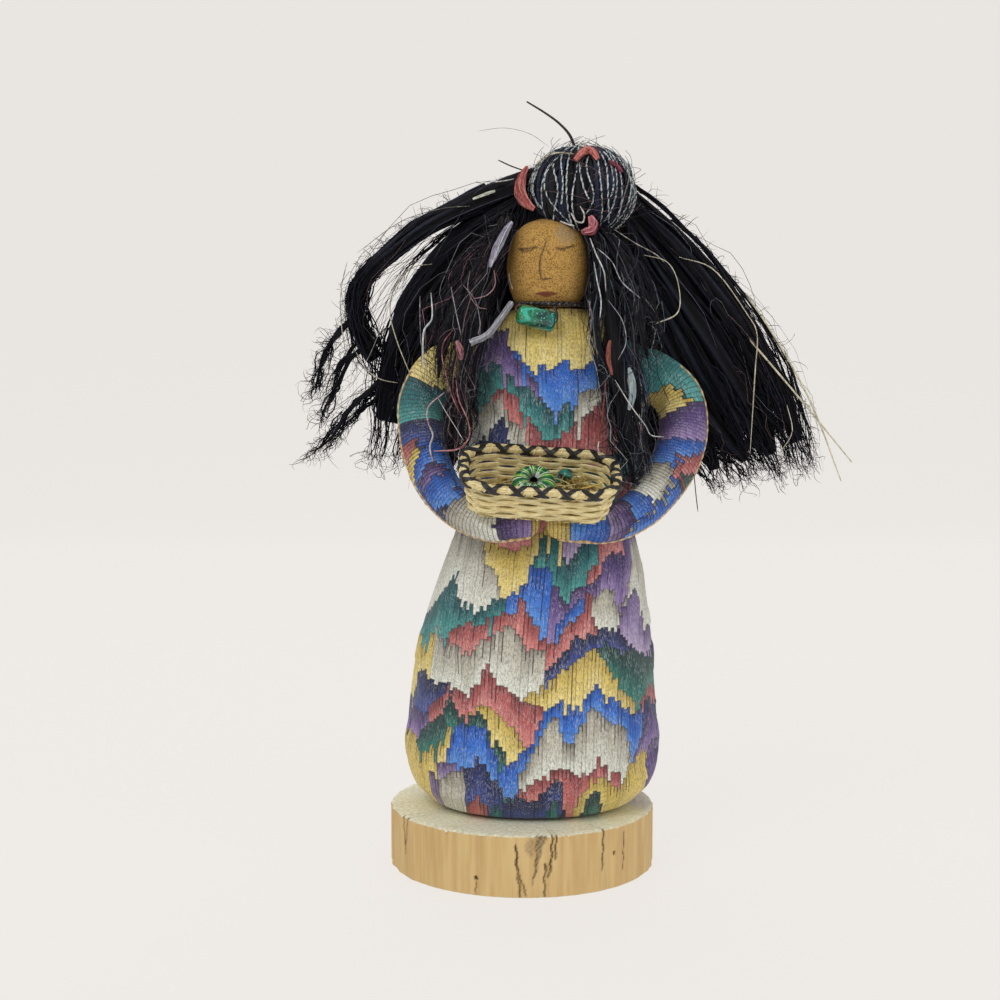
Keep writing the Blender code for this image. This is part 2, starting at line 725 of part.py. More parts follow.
def turquoise_bead(finish):
    """The nugget bead: a ball with flat sides pushed in, on the straw beside the round bead."""
    radius = NUGGET_BEAD_DIAMETER / 2
    beside = (STRIPED_BEAD_DIAMETER + NUGGET_BEAD_DIAMETER) / 2 + TOUCHING_GAP
    rest = BASKET_WALL + FILL_DEPTH + 2 * TOUCHING_GAP + radius
    centre = in_basket(STRIPED_BEAD_SEAT[0], NUGGET_BEAD_SEAT_BACK, rest)
    centre += basket_axes()[0] * beside
    turn = np.arange(NUGGET_SIDES) * 2 * math.pi / NUGGET_SIDES
    rings = []
    for k in range(1, 6):
        rise = -math.pi / 2 + math.pi * k / 6
        size = radius * math.cos(rise) * (0.95 + 0.05 * np.cos(3 * turn + k))
        height = np.full(NUGGET_SIDES, radius * math.sin(rise))
        ring = np.stack([np.cos(turn) * size, np.sin(turn) * size, height], 1)
        rings.append(centre + ring)
    return loft("turquoise_bead", rings, finish)


def crown(name):
    """The cap of hair over the top and back of the head."""
    half = [s * FIGURE_HEIGHT for s in CROWN_HALF_SIZE]
    return ellipsoid(name, metres(CROWN_CENTRE), half, 2 * LOCK_SIDES, LOCK_RINGS)


def topknot(name, finish, grow=0.0):
    """The bun: an upright bundle of yarn with furrows from pole to pole."""
    half = [s * FIGURE_HEIGHT for s in TOPKNOT_HALF_SIZE]
    furrows = 0 if grow else TOPKNOT_FURROWS
    sides, rings = 3 * TOPKNOT_FURROWS, LOCK_RINGS
    centre = metres(TOPKNOT_CENTRE)
    return ellipsoid(name, centre, half, sides, rings, finish, furrows, TOPKNOT_FURROW_DEPTH, grow)


def hair(name, locks, finish, extra=()):
    """One mass of hair: tapered locks joined into one solid, the first with the finish."""
    first, *others = [
        tube(
            name if i == 0 else f"{name}_{label}",
            line_in_metres(line),
            LOCK_SIDES if line[0][3] > 0.003 else 5,
            LOCK_RINGS,
            finish if i == 0 else None,
        )
        for i, (label, line) in enumerate(locks.items())
    ]
    join(first, (*others, *extra))
    return first


def main():
    """Builds the doll from the ground up, each piece cut clear of those made before it."""
    for old in list(bpy.data.objects):
        bpy.data.objects.remove(old)
    cloth = material("flame_stitch_cloth", (0.30, 0.36, 0.50), 0.8)
    yarn = material("black_yarn", (0.015, 0.015, 0.020), 0.6)
    knot_yarn = material("variegated_yarn", (0.05, 0.05, 0.06), 0.6)
    wicker = material("wicker", (0.68, 0.56, 0.32), 0.7)

    base_slice(material("pine", (0.66, 0.49, 0.27), 0.65))
    body("body", cloth)
    head("head", material("leather", (0.48, 0.29, 0.10), 0.8))
    neck_cord(material("black_cord", (0.02, 0.015, 0.015), 0.5))
    neck_bead(material("green_glass", (0.02, 0.30, 0.20), 0.12))
    basket(wicker)
    basket_fill(material("straw", (0.45, 0.36, 0.16), 0.9))
    striped_bead(material("striped_glass", (0.05, 0.32, 0.10), 0.12))
    turquoise_bead(material("turquoise_glass", (0.04, 0.30, 0.28), 0.15))

    body_cutter = body("cut_body", None, TOUCHING_GAP)
    head_cutter = head("cut_head", None, TOUCHING_GAP)
    basket_cutter = basket_hull("cut_basket", TOUCHING_GAP)
    for name, line in (("right_arm", RIGHT_ARM_LINE), ("left_arm", LEFT_ARM_LINE)):
        cut(arm(name, line, cloth), (body_cutter, basket_cutter))
    arm_cutters = [
        arm("cut_right_arm", RIGHT_ARM_LINE, None, TOUCHING_GAP),
        arm("cut_left_arm", LEFT_ARM_LINE, None, TOUCHING_GAP),
    ]

    knot = topknot("topknot", knot_yarn)
    join(knot, (tube("topknot_stem", line_in_metres(TOPKNOT_STEM), 6, LOCK_RINGS),))
    cut(knot, (head_cutter,))
    knot_cutter = topknot("cut_topknot", None, TOUCHING_GAP)

    parting = PARTING_X * FIGURE_HEIGHT
    front_plane = FRONT_LOCK_PLANE_Y * FIGURE_HEIGHT
    behind = half_space("cut_front", 1, front_plane, True)
    before = half_space("cut_back", 1, front_plane, False)
    falls = (
        ("hair_right", RIGHT_FALL, half_space("cut_left_half", 0, parting, False)),
        ("hair_left", LEFT_FALL, half_space("cut_right_half", 0, parting, True)),
    )
    for name, locks, side in falls:
        mass = hair(name, locks, yarn, (crown(f"{name}_crown"),))
        cut(mass, (side, behind, head_cutter, body_cutter, knot_cutter, *arm_cutters))
    for name, locks in (("right_front_lock", RIGHT_FRONT_LOCKS), ("left_front_lock", LEFT_FRONT_LOCKS)):
        lock = hair(name, locks, knot_yarn)
        cut(lock, (before, head_cutter, body_cutter, knot_cutter, basket_cutter, *arm_cutters))


main()
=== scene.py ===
"""Folk art doll: its cloth, yarn, leather, beads and cane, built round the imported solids.

Metres, +Z up, the doll faces -Y and its left arm is at +X. Millimetres are used where a name
ends in _mm. Every piece is a surface worked out as whole arrays, placed in the part's own frame.
"""

import logging
import math
from dataclasses import dataclass
from enum import Enum

import bpy
import numpy as np
from mathutils.bvhtree import BVHTree
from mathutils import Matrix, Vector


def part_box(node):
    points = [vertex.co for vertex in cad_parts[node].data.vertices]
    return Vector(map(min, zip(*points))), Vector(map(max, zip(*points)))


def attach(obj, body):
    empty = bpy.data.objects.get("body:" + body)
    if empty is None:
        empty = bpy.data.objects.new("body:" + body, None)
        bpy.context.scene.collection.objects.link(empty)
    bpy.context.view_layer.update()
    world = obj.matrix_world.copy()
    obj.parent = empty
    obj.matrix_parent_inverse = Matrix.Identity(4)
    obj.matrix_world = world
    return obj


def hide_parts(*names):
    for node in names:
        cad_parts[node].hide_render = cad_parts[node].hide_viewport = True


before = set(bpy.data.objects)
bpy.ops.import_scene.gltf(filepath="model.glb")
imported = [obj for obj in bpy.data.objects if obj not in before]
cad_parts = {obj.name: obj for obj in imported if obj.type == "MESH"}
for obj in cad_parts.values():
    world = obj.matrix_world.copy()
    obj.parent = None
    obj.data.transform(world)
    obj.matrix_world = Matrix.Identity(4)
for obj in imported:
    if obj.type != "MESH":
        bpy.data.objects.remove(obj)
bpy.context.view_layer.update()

LOG = logging.getLogger("folk_art_doll")
MM = 0.001
Array, Generator = np.ndarray, np.random.Generator
Material, Socket = bpy.types.Material, bpy.types.NodeSocket
TURN = 2 * math.pi

FIGURE_HEIGHT = 0.250
FOOT = 0.0231
STITCH_PITCH = 1.45 * MM
BACK, UP = np.array([0.0, 1.0, 0.0]), np.array([0.0, 0.0, 1.0])


def smoothstep(low: float, high: float, value: Array) -> Array:
    """Eases from 0 at low to 1 at high."""
    share = np.clip((np.asarray(value, float) - low) / (high - low), 0.0, 1.0)
    return share * share * (3.0 - 2.0 * share)


def unit(vectors: Array) -> Array:
    """Vectors scaled to length one along their last axis."""
    return vectors / np.maximum(np.linalg.norm(vectors, axis=-1, keepdims=True), 1e-12)


def linear(code: str) -> Array:
    """Turns a six-digit colour code into linear light."""
    shown = np.array([int(code[i:i + 2], 16) for i in (0, 2, 4)]) / 255.0
    return np.where(shown <= 0.04045, shown / 12.92, ((shown + 0.055) / 1.055) ** 2.4)


def tones(*codes: str) -> Array:
    """Six-digit colour codes as rows of linear light."""
    return np.array([linear(code) for code in codes])


def even_turns(count: int) -> Array:
    """Angles that part a circle evenly."""
    return np.arange(count) * TURN / count


def about(turn: Array, first: Array, second: Array) -> Array:
    """The cosine of each turn along the first axis and its sine along the second."""
    return np.cos(turn)[..., None] * first + np.sin(turn)[..., None] * second


def squared(wave: Array, power: float) -> Array:
    """A sine or cosine raised to a power with its sign kept, which squares or rounds a circle."""
    return np.sign(wave) * np.abs(wave) ** power


def globe(rise: Array, turn: Array, lump: Array | float = 1.0, squareness: float = 1.0) -> Array:
    """Points of a ball by latitude and turn, its rings swollen and squared as asked."""
    ring = squared(np.cos(rise), squareness) * lump
    return np.stack([ring * np.cos(turn), ring * np.sin(turn), np.sin(rise) + 0 * turn], -1)


def scaled(shares: tuple) -> Array:
    """A size given in shares of the figure's height, in metres."""
    return np.array(shares) * FIGURE_HEIGHT


def middle_and_half(node: str) -> tuple:
    """The middle and the half size of a CAD node's box."""
    low, high = (np.array(corner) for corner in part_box(node))
    return (low + high) / 2, (high - low) / 2


def smooth_rows(rows: Array, count: int) -> Array:
    """Reads a smooth line through the given rows at even steps.

    Between two rows it is the cubic that leaves each row in the direction from the row before
    it to the row after it.

    Args:
        rows: One row for each point, with any number of columns.
        count: How many rows to read.

    Returns:
        An array of count rows.
    """
    rows = np.asarray(rows, float)
    ends = np.concatenate([2 * rows[:1] - rows[1:2], rows, 2 * rows[-1:] - rows[-2:-1]])
    at = np.linspace(0, len(rows) - 1, count)
    i = np.minimum(at.astype(int), len(rows) - 2)
    t = (at - i).reshape((-1,) + (1,) * (rows.ndim - 1))
    a, b, c, d = ends[i], ends[i + 1], ends[i + 2], ends[i + 3]
    cubic = 2 * a - 5 * b + 4 * c - d
    return 0.5 * (2 * b + (c - a) * t + cubic * t**2 + (3 * b - a - 3 * c + d) * t**3)


def share_line(rows: tuple) -> Array:
    """Turns thousandths of the figure's height into metres above the slice.

    Args:
        rows: Rows of x, y, height and radius.

    Returns:
        The same rows in metres.
    """
    line = np.asarray(rows, float) / 1000 * FIGURE_HEIGHT
    line[:, 2] += FOOT
    return line


@dataclass
class Skin:
    """One mesh in the making: its points, faces, and the colours and cells on its corners."""

    name: str

    def __post_init__(self) -> None:
        """Starts with nothing in it."""
        self.points: list = []
        self.faces: list = []
        self.dyes: list = []
        self.stitches: list = []
        self.count = 0

    def add(self, points: Array, faces: list, dye: Array | None = None) -> None:
        """Takes in one more shell.

        Args:
            points: Its points, in rows of x, y and z.
            faces: Arrays of point numbers, each with its own number of corners in a face.
            dye: A colour for each point, where the shell has its own colours.
        """
        points = np.asarray(points, float).reshape(-1, 3)
        for block in faces:
            if len(block):
                self.faces.append(np.asarray(block) + self.count)
        self.points.append(points)
        if dye is not None:
            dye = dye.reshape(-1, dye.shape[-1])
            self.dyes.append(np.broadcast_to(dye, (len(points), 3)))
        self.count += len(points)

    def stitch(self, faces: Array, lines: Array, cell: Array, dye: Array) -> None:
        """Takes in cloth faces on points that are already there.

        Args:
            faces: Point numbers.
            lines: Four line weights for each corner of each face.
            cell: The place in its stitch of each corner of each face.
            dye: A colour for each corner of each face.
        """
        self.faces.append(faces)
        values = [np.broadcast_to(part, (*faces.shape, part.shape[-1])) for part in (lines, cell, dye)]
        self.stitches.append(np.concatenate(values, -1))

    def piece(self, finish: Material, sharp_deg: float = 60.0) -> bpy.types.Object:
        """Makes the object, with its faces outwards.

        The volume is the sum over the triangles of their corners' triple product, and the faces
        are turned where it is negative.

        Args:
            finish: The material that it is given.
            sharp_deg: Edges sharper than this keep their edge.

        Returns:
            The new object, at the origin.
        """
        points = np.concatenate(self.points)
        volume = 0.0
        for block in self.faces:
            for k in range(1, block.shape[1] - 1):
                a, b, c = points[block[:, 0]], points[block[:, k]], points[block[:, k + 1]]
                volume += float((a * np.cross(b, c)).sum())
        turned = volume < 0
        loops = np.concatenate([(f[:, ::-1] if turned else f).ravel() for f in self.faces])
        sizes = np.concatenate([np.full(len(f), f.shape[1]) for f in self.faces])
        mesh = bpy.data.meshes.new(self.name)
        mesh.vertices.add(len(points))
        mesh.vertices.foreach_set("co", points.astype(np.float32).ravel())
        mesh.loops.add(len(loops))
        mesh.loops.foreach_set("vertex_index", loops.astype(np.int32))
        mesh.polygons.add(len(sizes))
        starts = np.concatenate([[0], np.cumsum(sizes)[:-1]])
        mesh.polygons.foreach_set("loop_start", starts.astype(np.int32))
        mesh.update(calc_edges=True)
        mesh.validate()
        mesh.shade_smooth()
        mesh.set_sharp_from_angle(angle=math.radians(sharp_deg))
        if self.dyes:
            dyes = np.concatenate(self.dyes)
            layer = mesh.color_attributes.new("dye", "FLOAT_COLOR", "POINT")
            rgba = np.column_stack([dyes, np.ones(len(dyes))])
            layer.data.foreach_set("color", rgba.astype(np.float32).ravel())
        if self.stitches:
            values = [(v[:, ::-1] if turned else v).reshape(-1, 9) for v in self.stitches]
            values = np.concatenate(values).astype(np.float32)
            for name, rgba in (("lines", values[:, :4]), ("dye", np.insert(values[:, 6:], 3, 1.0, axis=1))):
                layer = mesh.color_attributes.new(name, "FLOAT_COLOR", "CORNER")
                layer.data.foreach_set("color", rgba.ravel())
            layer = mesh.uv_layers.new(name="cell")
            layer.data.foreach_set("uv", values[:, 4:6].ravel())
        mesh.materials.append(finish)
        made = bpy.data.objects.new(self.name, mesh)
        bpy.context.scene.collection.objects.link(made)
        return made


def grid_faces(rows: int, columns: int, closed: bool) -> Array:
    """Four-cornered faces over a grid of points in row order.

    Args:
        rows: The number of rows of points.
        columns: The number of points in a row.
        closed: Whether each row runs round and meets its first point again.

    Returns:
        Rows of four point numbers.
    """
    k, j = np.meshgrid(np.arange(rows - 1), np.arange(columns - (not closed)), indexing="ij")
    n = (j + 1) % columns
    quads = np.stack([k * columns + j, k * columns + n, (k + 1) * columns + n, (k + 1) * columns + j], -1)
    return quads.reshape(-1, 4)


def end_caps(rows: int, columns: int) -> list:
    """Closes the first and last ring of a grid of rings with one flat face each."""
    ring = np.arange(columns)
    return [ring[::-1][None, :], (ring + (rows - 1) * columns)[None, :]]


def run_along(line: Array) -> Array:
    """The length of a line up to each of its points."""
    return np.concatenate([[0], np.cumsum(np.linalg.norm(np.diff(line, axis=0), axis=1))])


def shell_faces(rows: int, columns: int) -> list:
    """Faces of a grid of rings, with its ends closed."""
    return [grid_faces(rows, columns, True), *end_caps(rows, columns)]


def round_faces(rows: int, columns: int) -> Array:
    """Four-cornered faces over a grid that runs round both ways.

    Args:
        rows: The number of rows of points.
        columns: The number of points in a row.

    Returns:
        Rows of four point numbers.
    """
    k, j = np.meshgrid(np.arange(rows), np.arange(columns), indexing="ij")
    m, n = (k + 1) % rows, (j + 1) % columns
    return np.stack([k * columns + j, k * columns + n, m * columns + n, m * columns + j], -1).reshape(-1, 4)


def carried_axes(centres: Array, first: Array = BACK) -> tuple:
    """Axes square to many lines, carried along each one without twist.

    At each point the last side axis loses its part along the line and is made one long again,
    and the other axis is square to both.

    Args:
        centres: Points, as lines by points by three.
        first: The direction that the side axis starts nearest to.

    Returns:
        The side axes and the other axes, each shaped as the centres.
    """
    along = unit(np.gradient(centres, axis=1))
    side = np.empty_like(centres)
    now = np.broadcast_to(first, centres[:, 0].shape)
    for k in range(centres.shape[1]):
        now = now - along[:, k] * (now * along[:, k]).sum(-1, keepdims=True)
        weak = np.linalg.norm(now, axis=-1, keepdims=True) < 1e-3
        now = unit(np.where(weak, np.cross(along[:, k], (0.31, 0.52, 0.79)), now))
        side[:, k] = now
    return side, np.cross(along, side)


def tubes(
    skin: Skin, centres: Array, radii: Array | float, sides: int, dye: Array | None = None,
    first: Array = BACK, flat: float = 1.0,
) -> None:
    """Adds closed tubes along many lines.

    A ring's points are the centre plus the radius times the cosine of an even turn along one
    axis and its sine along the other, which is shortened on a flat strand.

    Args:
        skin: The mesh.
        centres: Lines by points by three.
        radii: A radius for each point, or one for all.
        sides: Points in a ring.
        dye: A colour for each point, or None.
        first: Where the rings start.
        flat: A ring's thickness over its width.
    """
    lines, rings = centres.shape[:2]
    side, other = carried_axes(centres, first)
    turn = even_turns(sides)
    spread = about(turn, side[:, :, None], other[:, :, None] * flat)
    radii = np.broadcast_to(radii, (lines, rings))
    points = centres[:, :, None] + spread * radii[:, :, None, None]
    quads = grid_faces(rings, sides, True)
    start, end = end_caps(rings, sides)
    jump = (np.arange(lines) * rings * sides)[:, None, None]
    blocks = [(q[None] + jump).reshape(-1, q.shape[1]) for q in (quads, start, end)]
    colours = None
    if dye is not None:
        dye = np.broadcast_to(dye, (lines, rings, 3))
        colours = np.repeat(dye[:, :, None], sides, axis=2)
    skin.add(points, blocks, colours)


def finish_piece(piece: bpy.types.Object, slot: str, *nodes: str) -> bpy.types.Object:
    """Rides a piece on the doll, and hides and logs the solids that it stands for.

    Args:
        piece: The finished object.
        slot: The record's material slot. It is not used.
        nodes: CAD nodes that it replaces, none where it goes with another piece.

    Returns:
        The same object.
    """
    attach(piece, "root")
    if nodes:
        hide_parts(*nodes)
    LOG.info("%s: %d faces, for %s", piece.name, len(piece.data.polygons), ", ".join(nodes) or "detail")
    return piece


def solid_rings(node: str) -> Array:
    """Reads a lofted solid's level rings from the frame.

    Args:
        node: The CAD node.

    Returns:
        Rows of height, centre x, centre y, half width and half depth, from the lowest up.
    """
    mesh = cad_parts[node].data
    points = np.empty(len(mesh.vertices) * 3)
    mesh.vertices.foreach_get("co", points)
    points = points.reshape(-1, 3)
    rows = []
    for level in np.unique(np.round(points[:, 2], 5)):
        ring = points[np.abs(points[:, 2] - level) < 1e-5]
        low, high = ring.min(0), ring.max(0)
        if (high - low)[0] > 1e-4:
            middle, half = (low + high) / 2, (high - low) / 2
            rows.append((level, middle[0], middle[1], half[0], half[1]))
    return np.array(rows)


def rings_at(rings: Array, heights: Array) -> Array:
    """Level rings read at other heights."""
    return np.column_stack([heights] + [np.interp(heights, rings[:, 0], rings[:, i]) for i in range(1, 5)])


class Recipe:
    """A node tree being put together for one finish."""

    def __init__(self, name: str) -> None:
        """Starts an empty tree.

        Args:
            name: The material's name.
        """
        self.made = bpy.data.materials.new(name)
        self.made.use_nodes = True
        self.tree = self.made.node_tree
        self.shader = self.tree.nodes["Principled BSDF"]

    def add(self, kind: str, props: dict | None = None, **inputs: object) -> bpy.types.Node:
        """Adds a node and sets or links its inputs.

        Args:
            kind: The node's type without its ShaderNode prefix.
            props: Settings of the node itself.
            inputs: Values or sockets by input name, with spaces as underscores.

        Returns:
            The node.
        """
        node = self.tree.nodes.new("ShaderNode" + kind)
        for key, value in (props or {}).items():
            setattr(node, key, value)
        for key, value in inputs.items():
            self.feed(node.inputs[int(key[1:]) if key[0] == "_" else key.replace("_", " ")], value)
        return node

    def feed(self, socket: Socket, value: object) -> None:
        """Links a socket to a socket, or sets its value.

        Args:
            socket: The input.
            value: An output socket, a number, numbers or a colour code.
        """
        if isinstance(value, str):
            value = tuple(linear(value))
        if isinstance(value, Socket):
            self.tree.links.new(value, socket)
        elif hasattr(value, "__len__") and len(value) == 3 and socket.type == "RGBA":
            socket.default_value = (*value, 1.0)
        else:
            socket.default_value = value

    def dye(self) -> Socket:
        """The colour painted on the mesh itself."""
        return self.add("Attribute", {"attribute_name": "dye"}).outputs["Color"]

    def place(self, scale: tuple = (1.0, 1.0, 1.0)) -> Socket:
        """The object's own coordinates, stretched."""
        coordinates = self.add("TexCoord").outputs["Object"]
        return self.add("Mapping", Vector=coordinates, Scale=scale).outputs[0]

    def noise(self, scale: float, at: Socket, detail: float = 2.0) -> Socket:
        """Smooth noise."""
        return self.add("TexNoise", Vector=at, Scale=scale, Detail=detail).outputs["Fac"]

    def math(self, word: str, a: object, b: object = 0.0, c: object = 0.0) -> Socket:
        """One step of arithmetic."""
        return self.add("Math", {"operation": word}, _0=a, _1=b, _2=c).outputs[0]

    def ease(self, value: object, low: float, high: float, out: tuple = (0.0, 1.0)) -> Socket:
        """Eases a value from one range to another.

        Args:
            value: A value socket.
            low: Where the ease starts.
            high: Where it ends.
            out: What it gives at each end.

        Returns:
            A value socket.
        """
        node = self.add("MapRange", {"interpolation_type": "SMOOTHSTEP"}, Value=value)
        for key, number in (("From Min", low), ("From Max", high), ("To Min", out[0]), ("To Max", out[1])):
            node.inputs[key].default_value = number
        return node.outputs[0]

    def mix(self, share: object, a: object, b: object, blend: str = "MIX") -> Socket:
        """Mixes two colours.

        Args:
            share: How much of the second there is.
            a: The first colour or socket.
            b: The second.
            blend: The way of mixing.

        Returns:
            A colour socket.
        """
        node = self.add("Mix", {"data_type": "RGBA", "blend_type": blend})
        self.feed(node.inputs[0], share)
        self.feed(node.inputs[6], a)
        self.feed(node.inputs[7], b)
        return node.outputs[2]

    def bump(self, height: Socket, depth: float, strength: float = 1.0) -> None:
        """Raises the surface by a height."""
        node = self.add("Bump", Height=height, Distance=depth, Strength=strength)
        self.tree.links.new(node.outputs[0], self.shader.inputs["Normal"])

    def finish(self, **sockets: object) -> Material:
        """Sets the shader's sockets and hands the material over.

        Args:
            sockets: Values or sockets by name, with spaces as underscores.

        Returns:
            The material.
        """
        for key, value in sockets.items():
            self.feed(self.shader.inputs[key.replace("_", " ")], value)
        return self.made


@dataclass(frozen=True)
class StitchedCloth:
    """Printed cotton: coloured stitch columns with thin dark lines round every step."""

    line_width: float = 0.15
    line_height: float = 0.4
    line_colour: str = "17141c"
    roughness: float = 0.72
    weave_depth: float = 0.00012

    def make(self) -> Material:
        """Reads the dye on the points and the line weights on the corners of each stitch cell.

        Returns:
            The material.
        """
        r = Recipe("flame_stitch_cloth")
        dye = r.dye()
        lines = r.add("Attribute", {"attribute_name": "lines"})
        split = r.add("SeparateColor", Color=lines.outputs["Color"])
        cell = r.add("SeparateXYZ", Vector=r.add("UVMap", {"uv_map": "cell"}).outputs[0])
        across, up = cell.outputs[0], cell.outputs[1]
        back_across = r.math("SUBTRACT", 1.0, across)
        back_up = r.math("SUBTRACT", 1.0, up)
        sides = (
            (split.outputs[0], across, self.line_width), (split.outputs[1], back_across, self.line_width),
            (split.outputs[2], back_up, self.line_height), (lines.outputs["Alpha"], up, self.line_height),
        )
        ink = None
        for weight, distance, width in sides:
            drawn = r.math("MULTIPLY", weight, r.ease(distance, width * 0.75, width * 1.15, (1.0, 0.0)))
            ink = drawn if ink is None else r.math("MAXIMUM", ink, drawn)
        thread = r.noise(1.0, r.place((2600.0, 2600.0, 800.0)), 1.0)
        heather = r.noise(1.0, r.place((3000.0, 3000.0, 650.0)), 2.0)
        patches = r.ease(r.noise(170.0, r.place(), 2.0), 0.38, 0.62, (0.25, 1.0))
        pale = r.mix(0.38, dye, (0.8, 0.82, 0.8))
        flecks = r.math("MULTIPLY", r.ease(heather, 0.5, 0.6, (0.0, 0.62)), patches)
        light = r.mix(flecks, dye, pale)
        dark = r.mix(r.ease(thread, 0.4, 0.5, (0.5, 0.0)), light, r.mix(0.72, dye, (0.015, 0.015, 0.03)))
        colour = r.mix(r.math("MULTIPLY", ink, 0.88), dark, self.line_colour)
        rise = r.math("ADD", r.math("MULTIPLY", thread, 0.5), r.math("SUBTRACT", 0.5, ink))
        r.bump(rise, self.weave_depth, 0.8)
        return r.finish(Base_Color=colour, Roughness=self.roughness, Sheen_Weight=0.08, Sheen_Roughness=0.5)


@dataclass(frozen=True)
class DyedYarn:
    """Yarn and cord: the dye on its points, broken up by fine fibres."""

    name: str
    roughness: float = 0.5
    fibre_scale: float = 1400.0
    contrast: float = 0.45
    sheen: float = 0.1
    gloss: float = 0.5

    def make(self) -> Material:
        """Mixes the dye with a darker one by fine noise, and raises the fibres.

        Returns:
            The material.
        """
        r = Recipe(self.name)
        dye = r.dye()
        fibre = r.noise(self.fibre_scale, r.place((1.0, 1.0, 0.35)), 3.0)
        dark = r.mix(r.ease(fibre, 0.35, 0.65, (self.contrast, 0.0)), dye, (0.004, 0.004, 0.006))
        r.bump(fibre, 0.0002, 0.6)
        return r.finish(
            Base_Color=dark, Roughness=self.roughness, Sheen_Weight=self.sheen, Specular_IOR_Level=self.gloss,
        )


@dataclass(frozen=True)
class Suede:
    """Tan face leather: fine grain, drawn ink lines, painted lips and a worn grey patch."""

    tan: str = "ba9148"
    deep: str = "7c5a28"
    ink: str = "1f160d"
    lip: str = "6a2a16"
    worn: str = "827c6c"

    def make(self) -> Material:
        """Reads ink, lip and wear from the dye attribute's three channels.

        Returns:
            The material.
        """
        r = Recipe("leather")
        ink, lip, worn = r.add("SeparateColor", Color=r.dye()).outputs[:3]
        at = r.place()
        grain = r.noise(1900.0, at, 3.0)
        blotch = r.noise(260.0, at, 3.0)
        base = r.mix(r.ease(grain, 0.36, 0.6), self.deep, self.tan)
        base = r.mix(r.ease(blotch, 0.4, 0.75, (0.0, 0.35)), base, "c09750")
        patch = r.math("MULTIPLY", worn, r.ease(r.noise(1500.0, at, 3.0), 0.42, 0.6))
        base = r.mix(patch, base, self.worn)
        base = r.mix(lip, base, self.lip)
        base = r.mix(ink, base, self.ink)
        r.bump(grain, 0.00012, 0.7)
        return r.finish(Base_Color=base, Roughness=0.85)


@dataclass(frozen=True)
class SplitCane:
    """Natural cane: long fine fibres, pale with browner streaks."""

    pale: str = "efe3b0"
    brown: str = "cdb678"
    roughness: float = 0.55

    def make(self) -> Material:
        """Mixes pale and brown by streaks and by the dye's shade.

        Returns:
            The material.
        """
        r = Recipe("wicker")
        dye = r.dye()
        streak = r.noise(1.0, r.place((260.0, 900.0, 2600.0)), 3.0)
        blotch = r.noise(240.0, r.place(), 2.0)
        base = r.mix(r.ease(streak, 0.35, 0.62), self.brown, self.pale)
        base = r.mix(r.ease(blotch, 0.45, 0.7, (0.0, 0.3)), base, "d6bd84")
        base = r.mix(1.0, base, dye, "MULTIPLY")
        r.bump(streak, 0.00012, 0.7)
        return r.finish(Base_Color=base, Roughness=self.roughness)


@dataclass(frozen=True)
class GlowGlass:
    """Opaque bead glass: its own colours, and painted glints on its foil flecks, under a clear polish."""

    name: str
    roughness: float = 0.16
    painted_glint: float = 0.0
    lump_scale: float = 500.0
    lump_depth: float = 0.0002

    def make(self) -> Material:
        """Reads the dye, breaks it up with foil flecks painted light as glints, and gives it a clear coat.

        Returns:
            The material.
        """
        r = Recipe(self.name)
        dye = r.dye()
        at = r.place()
        lump = r.noise(self.lump_scale, at, 2.0)
        # Painted glint: the foil flecks are real, but their light cyan stands in for the foil's glints.
        fleck = r.ease(r.noise(1300.0, at, 2.0), 0.56, 0.68, (0.0, self.painted_glint))
        base = r.mix(fleck, dye, (0.25, 0.85, 0.75))
        base = r.mix(r.ease(lump, 0.3, 0.5, (0.35, 0.0)), base, (0.0, 0.03, 0.03))
        r.bump(lump, self.lump_depth, 0.8)
        return r.finish(Base_Color=base, Roughness=self.roughness, Coat_Weight=0.6, Coat_Roughness=0.06)


@dataclass(frozen=True)
class Pine:
    """Sawn and peeled pine: pale grey sawn faces, tan sides with upright grain."""

    sawn: str = "f0edd4"
    side: str = "c4a26a"
    side_pale: str = "d3b67e"
    bark: str = "75664f"
    split: str = "66502f"
    hole: str = "0f0a06"

    def make(self) -> Material:
        """Reads end-grain, bark and crack shares from the dye attribute's channels.

        Returns:
            The material.
        """
        r = Recipe("pine")
        sawn, bark, crack = r.add("SeparateColor", Color=r.dye()).outputs[:3]
        upright = r.noise(1.0, r.place((420.0, 420.0, 30.0)), 4.0)
        streak = r.noise(1.0, r.place((120.0, 120.0, 14.0)), 3.0)
        rough = r.noise(700.0, r.place(), 5.0)
        wood = r.mix(r.ease(upright, 0.3, 0.7), self.side, self.side_pale)
        wood = r.mix(r.ease(streak, 0.55, 0.8, (0.0, 0.35)), wood, "b58a50")
        top = r.mix(r.ease(rough, 0.3, 0.7), "d4d0b2", self.sawn)
        top = r.mix(r.ease(r.noise(90.0, r.place(), 3.0), 0.5, 0.8, (0.0, 0.35)), top, "c4b68c")
        colour = r.mix(sawn, wood, top)
        dark = r.mix(r.ease(rough, 0.35, 0.6), "35291c", self.bark)
        colour = r.mix(bark, colour, dark)
        colour = r.mix(r.math("MINIMUM", crack, 0.75), colour, self.split)
        # Painted shade: past a crack share of 1 the nail holes are painted near black, as the shade inside
        # them.
        colour = r.mix(r.ease(crack, 1.0, 1.25), colour, self.hole)
        height = r.math("ADD", r.math("MULTIPLY", upright, 0.6), r.math("MULTIPLY", rough, 0.4))
        r.bump(height, 0.0003, 0.6)
        return r.finish(Base_Color=colour, Roughness=0.75)


